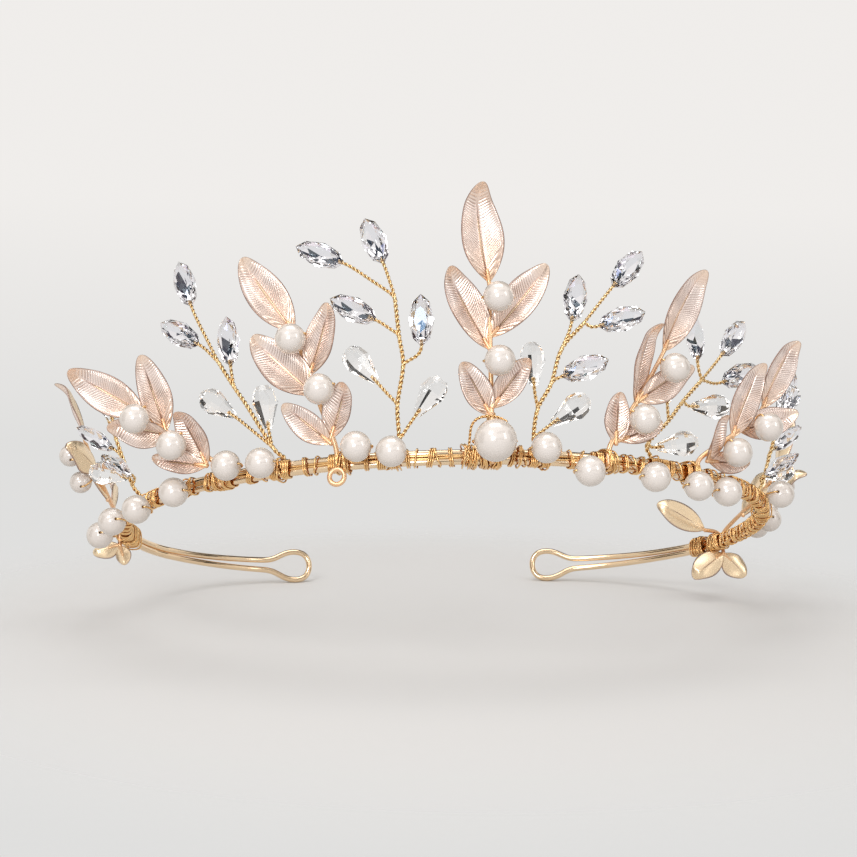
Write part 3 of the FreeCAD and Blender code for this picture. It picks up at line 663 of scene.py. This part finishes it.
def cross_wraps():
    dice = random.Random(11)
    shell = Shell()
    for station in wrap_stations():
        count = dice.choice((1.6, 2.2, 3.1))
        start = dice.uniform(math.pi * 0.8, math.pi * 1.3)
        place, lean = station + dice.uniform(-0.5, 0.5), dice.uniform(-0.5, 0.5)
        turns(shell, place, count, pitch=0.42, lean=lean, start=start)
        if dice.random() < 0.75:
            start = dice.uniform(math.pi * 0.8, math.pi * 1.3)
            place, lean = station + dice.uniform(1.4, 2.4), dice.uniform(-0.9, 0.9)
            turns(shell, place, count=1.1, pitch=0.5, lean=lean, layer=0.02, start=start)
    make_piece("band_cross_wraps", shell, WIRE_GOLD)


def end_binding(label, side):
    """Close coils at the end of the dressed band, with looser turns fanned out over them."""
    dice = random.Random(5 + side)
    hinge = HINGES[label]
    shell = Shell()
    for back in (1.4, 3.3):
        turns(shell, hinge - side * back, count=4.6, pitch=0.38, lean=0.1, start=math.pi)
    for _ in range(7):
        station = hinge - side * dice.uniform(0.4, 5.6)
        turns(shell, station, dice.uniform(1.0, 1.8), dice.uniform(-1.1, 1.1), dice.uniform(-1.6, 1.6),
              dice.uniform(0.3, 0.75), dice.uniform(0, 6.28))
    make_piece("end_binding_" + label, shell, WIRE_GOLD)


def stem_bindings(name, stems, side, stem_r, tangle, spread=1.6):
    """Coils each side of each stem, straps across it, and loose turns wound over them."""
    dice = random.Random(len(name) * 7 + len(stems))
    start = math.pi if side > 0 else 0.0
    height = 2 * stem_r + 0.1
    shell = Shell()
    for station in stems:
        for offset in (-STEM_COIL_OFFSET, STEM_COIL_OFFSET):
            turns(shell, station + offset, count=4.2, pitch=0.36, lean=0.06, start=start)
        for lean in (-0.55, 0.55):
            turns(shell, station, 1.0, 0.3, lean, 0.03, start, bump=(side, 0.9, height))
        for _ in range(tangle):
            place = station + dice.uniform(-spread, spread)
            count, pitch = dice.uniform(0.9, 1.6), dice.uniform(-0.8, 0.8)
            lean, layer, turned = dice.uniform(-1.3, 1.3), dice.uniform(0.25, 0.6), dice.uniform(0, 6.28)
            turns(shell, place, count, pitch, lean, layer, turned, bump=(side, 1.2, height * 0.8))
    make_piece(name, shell, WIRE_GOLD)


# ---- leaf sprigs

def uneven(values, seed):
    """A smooth wandering value between 0 and 1."""
    return 0.5 + 0.28 * np.sin(values * 2.1 + seed) + 0.22 * np.sin(values * 4.7 + 1.7 * seed)


def leaf_outline(s, width):
    """Half width of a leaf along its length: full in the middle, blunt at the tip."""
    return (width / 2) * np.sin(math.pi * np.clip(s, 0, 1) ** 0.96) ** (0.80 - 0.29 * s)


def add_leaf(shell, base, direction, facing, length, width, dice, roll_limit):
    """A folded leaf: midrib groove, herringbone veins, raised rim and a curled tip. Here p is a
    vein's place on the midrib, t the share of the half width and s the share of the length."""
    across = unit(np.cross(facing, direction))
    veins = int(length / VEIN_SPACING)
    p = np.linspace(0.0, 1.0, veins * ROWS_PER_VEIN)[:, None]
    half = np.array([0.0, 0.03, 0.06, 0.10, 0.18, 0.29, 0.42, 0.55, 0.68, 0.79, 0.86, 0.90, 0.94, 0.97,
                     1.0])
    top = np.concatenate([-half[:0:-1], half])[None, :]
    under = np.array([0.86, 0.5, 0.12, -0.12, -0.5, -0.86])[None, :]
    t = np.concatenate([top, under], axis=1)
    is_under = np.concatenate([np.zeros(top.shape[1]), np.ones(under.shape[1])])[None, :]
    u = np.abs(t)

    s = p + VEIN_SWEEP * u ** 1.1 * np.clip(p / 0.14, 0, 1) * (1 - p) ** 1.1
    outline = leaf_outline(s, width) * (1 + 0.04 * dice.uniform(-1, 1) * np.sin(2 * math.pi * s))
    y = t * outline * (1 + dice.uniform(-0.1, 0.1) * np.sign(t))

    middle = s * length - length / 2
    bow = LEAF_BOW_R * dice.uniform(1.0, 1.7)
    z = math.sqrt(bow ** 2 - (length / 2) ** 2) - np.sqrt(bow ** 2 - middle ** 2)
    fold = dice.uniform(0.28, 0.50) + dice.uniform(-0.20, 0.20) * np.sign(t)
    z = z + fold * outline * np.sin(u * math.pi * 0.6) * (0.6 + 0.4 * np.sin(math.pi * s))
    ripple = dice.uniform(0.06, 0.18) * np.sin(2 * math.pi * (s * dice.uniform(1.2, 2.0) + dice.random()))
    z = z + ripple * u ** 2 * np.sin(math.pi * s)

    seed = dice.uniform(0, 6)
    groove = (0.5 + 0.5 * np.cos(2 * math.pi * p * veins)) ** 1.6
    inside = np.clip((u - 0.06) / 0.12, 0, 1) * np.clip((0.90 - u) / 0.10, 0, 1)
    inside = inside * np.clip(s / 0.08, 0, 1) * np.clip((0.97 - s) / 0.16, 0, 1)
    patch = np.clip(uneven(3.0 * s + 1.3 * np.sign(t), seed) * 1.2 + 0.3, 0.7, 1)
    vein = groove * inside * patch
    midrib = np.exp(-(y / 0.17) ** 2) * np.clip(s / 0.06, 0, 1) * np.clip((0.90 - s) / 0.25, 0, 1)
    gutter = np.exp(-((u - 0.88) / 0.035) ** 2) * np.clip(s / 0.10, 0, 1)
    rim = np.exp(-((u - 0.955) / 0.035) ** 2) * np.clip(s / 0.12, 0, 1)
    relief = RIM_HEIGHT * rim - VEIN_DEPTH * vein - MIDRIB_DEPTH * midrib - GUTTER_DEPTH * gutter
    wall = 0.42 - 0.12 * u
    z = z + np.where(is_under > 0, -wall, relief)
    # Painted shade, kept in depth: darker in the veins, midrib and rim gutter, and a painted dark edge
    # standing in for shade and dark reflection at the rim; none on the underside
    edge = np.clip((u - 0.90) / 0.06, 0, 1)
    painted_shade = 0.3 + 0.6 * uneven(7.0 * s, seed + 2)
    depth = np.clip(0.95 * vein * painted_shade + 1.0 * midrib + 0.25 * gutter + 0.9 * edge, 0, 1)
    depth = depth * (1 - is_under)

    curl = np.clip(s - CURL_START, 0, 1)
    z = z + dice.uniform(0.8, 3.8) * length * curl ** 2
    y = y + dice.uniform(-0.5, 0.5) * length * curl ** 2
    roll = math.radians(dice.uniform(-roll_limit, roll_limit))
    y, z = y * math.cos(roll) - z * math.sin(roll), y * math.sin(roll) + z * math.cos(roll)
    x = np.broadcast_to(s * length, y.shape)

    points = base + x[..., None] * direction + y[..., None] * across + z[..., None] * facing
    values = np.stack([np.broadcast_to(value, y.shape).ravel() for value in (s, is_under, depth)], axis=1)
    shell.add(points.reshape(-1, 3), capped_grid(*y.shape), values)


def add_stalked_leaf(shell, start, direction, normal, length, width, dice, roll_limit=CALM_ROLL):
    neck = through([start - normal * 0.1, start + direction * 1.2 - normal * 0.15,
                    start + direction * 2.6 - normal * 0.3], 0.4)
    add_wire(shell, neck, np.linspace(0.5, 0.3, len(neck)))
    add_leaf(shell, start, direction, normal, length, width, dice, roll_limit)


def sprig_axes(name):
    station, turn, splay, lean, _ = SPRIGS[name]
    place = splayed(band_frame(station, turn), splay)
    foot = at(band_frame(station), 0, STEM_OUT, 0)
    return place, foot, in_plane(place, lean), in_plane(place, lean + 90)


def leaf_sprig(name):
    """One cast sprig: stem and leaves, and its eyelet where it has one."""
    station, _, _, _, length = SPRIGS[name]
    place, foot, stem, _ = sprig_axes(name)
    dice = random.Random("sprig " + name)
    heel, shoulder = foot + UP * STEM_FOOT, foot + UP * (CORE_HEIGHT + 0.6)
    half_way, top = foot + stem * length * 0.6, foot + stem * length
    shell = Shell()
    line = spline([heel, foot, shoulder, shoulder + stem * 3.0, half_way, top], 0.5)
    add_wire(shell, line, np.linspace(STEM_R, STEM_R * 0.75, len(line)), sides=10)
    band = band_frame(station)
    if name == EYELET_SPRIG:
        turn = np.linspace(0, 2 * math.pi, 40)[:, None]
        ring = band[1] * np.cos(turn) + UP * np.sin(turn)
        add_wire(shell, at(band, 0, EYELET_OUT, -EYELET_DROP) + ring * EYELET_R, EYELET_WIRE_R, ring, 10)
    roll_limit = CALM_ROLL if name == "centre" else LEAF_ROLL
    for distance, angle, leaf_length, width, tilt in SPRIG_LEAVES[name]:
        direction, normal = tilted(in_plane(place, angle), place[2], tilt)
        start = foot + stem * max(distance, LEAF_LOWEST)
        add_stalked_leaf(shell, start, direction, normal, leaf_length, width, dice, roll_limit)
    for out, drop, angle, leaf_length, width in LOW_LEAVES.get(name, []):
        start = at(band, 0, out, -drop)
        direction = np.array([-math.sin(math.radians(angle)), 0.0, math.cos(math.radians(angle))])
        add_wire(shell, spline([heel, foot - UP * drop, start], 0.4), 0.5)
        add_stalked_leaf(shell, start, direction, np.array([0.0, 1.0, 0.0]), leaf_length, width, dice)
    make_piece("leaf_sprig_" + name, shell, LEAF_GOLD)


# ---- pearls

def add_pearl(shell, centre, axis, diameter):
    """A drilled pearl: the outside from hole to hole, then back through the hole."""
    radius = diameter / 2
    edge = math.asin(PEARL_HOLE_R / radius)
    latitudes = np.linspace(edge, math.pi - edge, PEARL_ROWS)
    profile = [(radius * math.cos(a), radius * math.sin(a)) for a in latitudes]
    inner = math.sqrt(radius ** 2 - PEARL_HOLE_R ** 2) - 0.12
    profile += [(-inner, PEARL_HOLE_R * 0.85), (inner, PEARL_HOLE_R * 0.85)]
    across = unit(np.cross(axis, UP + np.array([0.01, 0.02, 0.0])))
    third = np.cross(axis, across)
    turn = np.linspace(0, 2 * math.pi, PEARL_SIDES, endpoint=False)[:, None, None]
    radial = across * np.cos(turn) + third * np.sin(turn)
    along, out = np.array(profile).T
    points = (centre + radial * out[None, :, None] + axis * along[None, :, None]).reshape(-1, 3)
    faces = grid(PEARL_SIDES + 1, len(profile)) % len(points)
    shell.add(points, [faces[:, ::-1]])


def wire_reach(diameter):
    return (diameter / 2 + 0.5) / math.cos(math.radians(15.0))


def add_pearl_wire(shell, centre, axis, facing, diameter):
    """A fine wire through a pearl, drawn close round its back and knotted behind it."""
    radius, reach = diameter / 2 + 0.2, wire_reach(diameter)
    angles = np.radians((87, 66, 44, 24, 8))
    half = [(radius * math.cos(a), -radius * math.sin(a)) for a in angles] + [(diameter * 0.42, 0.0)]
    places = half + [(0.0, 0.0)] + [(-x, y) for x, y in reversed(half)]
    path = through([centre + axis * x + facing * y for x, y in places], 0.3)
    add_wire(shell, path, PEARL_WIRE_R, sides=6)
    knot = centre - facing * (radius + reach) / 2
    turn = np.linspace(0, 2 * math.pi * 2.4, 50)[:, None]
    up = np.cross(facing, axis)
    climb = up * (turn / (2 * math.pi) - 1.2) * 0.36
    coil = axis * 0.42 * np.cos(turn) + facing * 0.30 * np.sin(turn) + climb
    add_wire(shell, knot + coil, FINE_R * 0.8, sides=6)


def add_crown_wire(shell, centre, axis, facing):
    """A twisted wire beside and over the big pearl, a loose wire with it, and a coil on the stem."""
    def beside(points):
        return through([centre + axis * x + UP * y + facing * z for x, y, z in points], 0.3)

    rise = [(-5.3, -3.4, -2.6), (-4.9, -0.2, -0.6), (-4.4, 2.9, 0.2), (-2.6, 4.4, 0.3), (0.2, 4.5, 0.4),
            (2.4, 3.6, 0.2)]
    add_twist(shell, beside(rise), 0.15, 1.5)
    add_wire(shell, beside([(-4.5, 2.6, 0.0), (-3.0, 4.9, -2.2), (-0.6, 5.6, -3.6)]), FINE_R, sides=6)
    stem = at(band_frame(0.0), 0, STEM_OUT, 6.0)
    turn = np.linspace(0, 2 * math.pi * 5.5, 150)[:, None]
    coil = axis * 0.78 * np.cos(turn) + facing * 0.78 * np.sin(turn) + UP * 0.42 * turn / (2 * math.pi)
    add_wire(shell, stem + coil, FINE_R, sides=6)


def pearl_nodes(pearls_name, wires_name, places, extra_wire=None):
    pearls, wires = Shell(), Shell()
    for centre, axis, facing, diameter in places:
        add_pearl(pearls, centre, axis, diameter)
        add_pearl_wire(wires, centre, axis, facing, diameter)
        if extra_wire:
            extra_wire(wires, centre, axis, facing)
    make_piece(pearls_name, pearls, PEARL)
    make_piece(wires_name, wires, WIRE_GOLD)


def sprig_pearl_places(name):
    """Centre, hole direction, facing and diameter of each pearl on a sprig."""
    place, foot, stem, side = sprig_axes(name)
    diameter = SMALL_PEARL_D if name.startswith("back") else PEARL_D
    front = place[2] * (SPRIG_PEARL_GAP + wire_reach(diameter))
    return [(foot + stem * distance + side * offset + front, side, place[2], diameter)
            for distance, offset in SPRIG_PEARLS[name]]


def band_pearl_place(station, rise, diameter=PEARL_D, shift=0.0, stem_depth=0.0):
    """The same for a pearl wired to the band, or over a stem there."""
    place = band_frame(station)
    out = CORE_DEPTH + stem_depth + BAND_PEARL_GAP + wire_reach(diameter)
    return at(place, shift, out, rise), place[1], place[2], diameter


# ---- crystal branches

def placed(points, origin, direction, facing):
    across = np.cross(facing, direction)
    points = np.asarray(points, float)
    return origin + points[:, :1] * direction + points[:, 1:2] * across + points[:, 2:] * facing


def add_crystal(shell, near, direction, facing):
    """A navette cut stone: table, crown facets, thin girdle and pavilion facets to its culet."""
    half, wide, count = CRYSTAL_LENGTH / 2, CRYSTAL_WIDTH / 2, CRYSTAL_SIDES

    def ring(scale, height, turn=0.0):
        corners = []
        for index in range(count):
            a = 2 * math.pi * (index + turn) / count
            c, s = math.cos(a), math.sin(a)
            corners.append((half + half * scale * c, wide * scale * s * (1 - 0.22 * abs(c) ** 3), height))
        return corners

    crown, pavilion = CRYSTAL_DEPTH * CROWN_SHARE, CRYSTAL_DEPTH * (1 - CROWN_SHARE)
    rings = [ring(0.50, crown), ring(0.80, crown * 0.62, 0.5), ring(1.0, 0.1), ring(1.0, -0.1),
             ring(0.62, -pavilion * 0.52, 0.5)]
    points = [corner for one in rings for corner in one] + [(half, 0, -pavilion)]
    faces = []
    for i in range(count):
        j = (i + 1) % count
        table, star, girdle, low, deep = (k * count for k in range(5))
        faces += [(table + i, star + i, table + j)]
        faces += [(table + j, star + i, star + j), (star + i, girdle + j, star + j)]
        faces += [(star + i, girdle + i, girdle + j)]
        faces += [(deep + i, low + j, low + i), (deep + i, deep + j, low + j)]
        faces += [(deep + i, 5 * count, deep + j)]
    edge = (grid(2, count) + 2 * count)[:, [0, 3, 2, 1]]
    shell.add(placed(points, near, direction, facing), [np.array(faces), edge, np.arange(count)[None, :]])


def add_bead(shell, near, direction, facing):
    """A drop bead with long narrow facets running from its wired end to its blunt end."""
    points = []
    for share, radius in BEAD_RADII:
        for index in range(BEAD_SIDES):
            a = 2 * math.pi * (index + 0.35) / BEAD_SIDES
            points.append((share * BEAD_LENGTH, radius * math.cos(a), radius * math.sin(a)))
    shell.add(placed(points, near, direction, facing), capped_grid(len(BEAD_RADII), BEAD_SIDES))


STONES = {"crystal": (add_crystal, CRYSTAL_LENGTH), "bead": (add_bead, BEAD_LENGTH)}


def branch_point(name, sideways, height):
    station, splay, _, _ = BRANCHES[name]
    return at(splayed(band_frame(station), splay), sideways, TRUNK_BACK, height)


def stone_axes(name, twig):
    station, splay, _, _ = BRANCHES[name]
    _, centre, angle, tilt, kind = twig
    place = splayed(band_frame(station), splay)
    flat = in_plane(place, angle)
    direction, facing = tilted(flat, place[2], tilt)
    return branch_point(name, *centre) - flat * (STONES[kind][1] / 2), direction, facing


def branch_stones(node, name, kind, material):
    """The stones of one kind on one branch, each cut sharp."""
    shell = Shell()
    for twig in BRANCHES[name][3]:
        if twig[4] == kind:
            STONES[kind][0](shell, *stone_axes(name, twig))
    make_piece(node + name, shell, material, smooth=False)


def branch_wire(name):
    """The twisted stem with its twisted twigs."""
    station, _, trunk, twigs = BRANCHES[name]
    flat = band_frame(station)
    trunk_points = [branch_point(name, *place) for place in trunk]
    points = [at(flat, 0, TRUNK_BACK, -1.4), at(flat, 0, TRUNK_BACK, CORE_HEIGHT + 1.0)] + trunk_points
    shell = Shell()
    add_twist(shell, through(points, 0.3), TRUNK_STRAND_R, TWIST_PITCH)
    for index, twig in enumerate(twigs):
        near, direction, _ = stone_axes(name, twig)
        start, below = points[twig[0] + 2], points[twig[0] + 1]
        leave = unit(start - below)
        bend = near - direction * 1.2
        controls = [start - leave * 0.8, start + leave * 0.5, (start + bend) / 2, bend,
                    near + direction * 1.4]
        add_twist(shell, spline(controls, 0.3), TWIG_STRAND_R, TWIG_PITCH, start=index * 1.1)
    make_piece("branch_wire_" + name, shell, TWIST_GOLD)


# ---- assembly

band_wire("band_wire_upper", FRAME_WIRE_HALF_GAP)
band_wire("band_wire_lower", -FRAME_WIRE_HALF_GAP)
groove_strands("band_strand_front", 1)
groove_strands("band_strand_back", -1)
cross_wraps()
for side, label in ((-1, "left"), (1, "right")):
    arm_wire(label)
    end_binding(label, side)
    sprig_stems = [values[0] for values in SPRIGS.values() if values[0] * side > 0]
    branch_stems = [values[0] for values in BRANCHES.values() if values[0] * side > 0]
    stem_bindings("sprig_bindings_" + label, sprig_stems, 1, STEM_R, 3)
    stem_bindings("branch_bindings_" + label, branch_stems, -1, TRUNK_R, 1)
    band_places = [band_pearl_place(*pearl) for pearl in BAND_PEARLS[label]]
    pearl_nodes("band_pearls_" + label, "band_pearl_wires_" + label, band_places)
stem_bindings("sprig_binding_centre", [0.0], 1, STEM_R, 22, 5.4)
centre_place = band_pearl_place(0.0, 1.2, CENTRE_PEARL_D, -0.4, 2 * STEM_HALF_DEPTH)
pearl_nodes("centre_pearl", "centre_pearl_wire", [centre_place], add_crown_wire)

for name in SPRIGS:
    leaf_sprig(name)
    pearl_nodes("sprig_pearls_" + name, "pearl_wires_" + name, sprig_pearl_places(name))

for name in BRANCHES:
    branch_wire(name)
    branch_stones("crystals_", name, "crystal", CRYSTAL)
    branch_stones("drop_beads_", name, "bead", BEAD)


# ---- stage, light and camera

FLOOR_CLEARANCE, FLOOR_FADE_START, FLOOR_FADE_END = 0.0003, 0.085, 0.16
MIDDLE = (0.0, -0.02, 0.02)
STONE_CARD_DISTANCE = 0.62

# Cards for the stones: direction round the object, height, width and depth
STONE_CARDS = ((-150, 0.30, 0.16, 0.30), (-110, 0.10, 0.12, 0.40), (-60, 0.35, 0.22, 0.16),
               (-25, 0.16, 0.14, 0.34), (30, 0.30, 0.20, 0.18), (75, 0.12, 0.12, 0.30),
               (120, 0.40, 0.26, 0.16), (165, 0.14, 0.12, 0.26))


def floor():
    """A pale floor that grows see-through away from the object, so that the studio shows."""
    height = cad_low.z - FLOOR_CLEARANCE
    bpy.ops.mesh.primitive_circle_add(vertices=96, radius=3.0, fill_type="NGON", location=(0, 0, height))
    disc = bpy.context.object
    disc.name = "studio_floor"
    material, nodes, links, shader = new_material(
        "pale_floor", Base_Color=(0.585, 0.578, 0.57, 1), Roughness=0.7, Specular_IOR_Level=0.15)
    geometry = add_node(nodes, "NewGeometry")
    length = add_node(nodes, "VectorMath")
    length.operation = "LENGTH"
    links.new(geometry.outputs["Position"], length.inputs[0])
    fade = add_node(nodes, "MapRange", From_Min=FLOOR_FADE_START, From_Max=FLOOR_FADE_END)
    fade.interpolation_type = "SMOOTHSTEP"
    links.new(length.outputs["Value"], fade.inputs["Value"])
    clear = add_node(nodes, "BsdfTransparent")
    mix = add_node(nodes, "MixShader")
    links.new(fade.outputs["Result"], mix.inputs["Fac"])
    links.new(shader.outputs["BSDF"], mix.inputs[1])
    links.new(clear.outputs["BSDF"], mix.inputs[2])
    links.new(mix.outputs["Shader"], nodes["Material Output"].inputs["Surface"])
    disc.data.materials.append(material)


def world():
    """A pale studio, a little brighter overhead."""
    studio = bpy.data.worlds.new("studio")
    studio.use_nodes = True
    nodes, links = studio.node_tree.nodes, studio.node_tree.links
    coordinates = add_node(nodes, "TexCoord")
    split = add_node(nodes, "SeparateXYZ")
    ramp = add_node(nodes, "ValToRGB")
    links.new(coordinates.outputs["Generated"], split.inputs["Vector"])
    spread = add_node(nodes, "MapRange", From_Min=-0.5, From_Max=0.5)
    links.new(split.outputs["Z"], spread.inputs["Value"])
    links.new(spread.outputs["Result"], ramp.inputs["Fac"])
    stops = ramp.color_ramp.elements
    stops[0].position, stops[0].color = 0.40, (0.742, 0.739, 0.73, 1)
    stops[1].position, stops[1].color = 0.56, (0.87, 0.85, 0.83, 1)
    links.new(ramp.outputs["Color"], nodes["Background"].inputs["Color"])
    bpy.context.scene.world = studio


def aim(item, location, target):
    item.location = location
    item.rotation_euler = (Vector(target) - Vector(location)).to_track_quat("-Z", "Y").to_euler()


def softbox(name, location, size, energy):
    data = bpy.data.lights.new(name, "AREA")
    data.shape = "RECTANGLE"
    data.size, data.size_y = size
    data.energy = energy
    lamp = bpy.data.objects.new(name, data)
    aim(lamp, location, MIDDLE)
    collection.objects.link(lamp)


def dark_card(name, location, size, target=MIDDLE, tone=0.02, in_metal=True):
    """A dark studio card, seen only through the stones and, if asked, in reflections."""
    bpy.ops.mesh.primitive_plane_add(size=1, location=location)
    card = bpy.context.object
    card.name = name
    card.scale = (*size, 1)
    aim(card, location, target)
    card.data.materials.append(new_material(name, Base_Color=(tone, tone, tone, 1), Roughness=1.0,
                                            Specular_IOR_Level=0.0)[0])
    card.visible_camera = False
    card.visible_diffuse = False
    card.visible_glossy = in_metal
    card.visible_shadow = False


def camera():
    """In front and slightly to the viewer's left, a little above the band, looking gently down."""
    turn, rise, roll = math.radians(7.5), math.radians(15.75), math.radians(1.66)
    distance, right_of_axis, below_axis = 290.0, 12.08, 5.51
    level = np.array([math.cos(turn), -math.sin(turn), 0.0])
    ahead = np.array([math.sin(turn) * math.cos(rise), math.cos(turn) * math.cos(rise), math.sin(rise)])
    square = np.cross(level, ahead)
    right = level * math.cos(roll) - square * math.sin(roll)
    up = level * math.sin(roll) + square * math.cos(roll)
    forehead = np.array([0.0, -BAND_DEPTH_TO_CENTRE, 0.0])
    place = forehead - right * right_of_axis + up * below_axis - ahead * distance
    data = bpy.data.cameras.new("camera")
    data.lens = 63.0
    data.clip_start, data.clip_end = 0.01, 20.0
    lens = bpy.data.objects.new("camera", data)
    columns = [to_row(axis)[0] / MM for axis in (right, up, -ahead)] + [to_row(place)[0]]
    lens.matrix_world = Matrix([*zip(*columns), (0, 0, 0, 1)])
    collection.objects.link(lens)
    bpy.context.scene.camera = lens


floor()
world()
camera()
softbox("key", (-0.40, -0.52, 0.60), (0.26, 0.26), 1.6)
softbox("front", (-0.16, -0.46, 0.14), (0.15, 0.15), 0.5)
softbox("fill", (0.50, -0.50, 0.36), (0.12, 0.40), 0.6)
softbox("top", (0.0, 0.02, 0.80), (0.6, 0.4), 1.6)
dark_card("card_camera", (-0.04, -0.43, 0.05), (0.08, 0.08))
dark_card("card_front_low", (0.12, -0.60, 0.14), (0.6, 0.07))
dark_card("card_front_high", (0.22, -0.46, 0.50), (0.5, 0.16))
dark_card("card_top_back", (0.0, 0.44, 0.56), (1.4, 0.34))
dark_card("card_overhead", (0.25, 0.24, 0.42), (0.36, 0.40), (-0.05, 0.04, 0.0))
dark_card("card_back_low", (0.0, 0.75, 0.30), (1.6, 0.18))
dark_card("card_left", (-0.60, -0.05, 0.14), (0.34, 0.5))
dark_card("card_right", (0.62, -0.05, 0.20), (0.30, 0.5))

for turn, height, width, depth in STONE_CARDS:
    away = Vector((math.cos(math.radians(turn)), math.sin(math.radians(turn)), 0))
    place = away * STONE_CARD_DISTANCE + Vector((0, 0, height))
    dark_card("stone_card_%d" % (turn + 180), place, (width, depth), tone=0.06, in_metal=False)

scene = bpy.context.scene
scene.view_settings.view_transform = "Standard"
scene.cycles.use_denoising = True
scene.cycles.max_bounces = 16
scene.cycles.transmission_bounces = 12
scene.cycles.transparent_max_bounces = 12
scene.cycles.glossy_bounces = 6
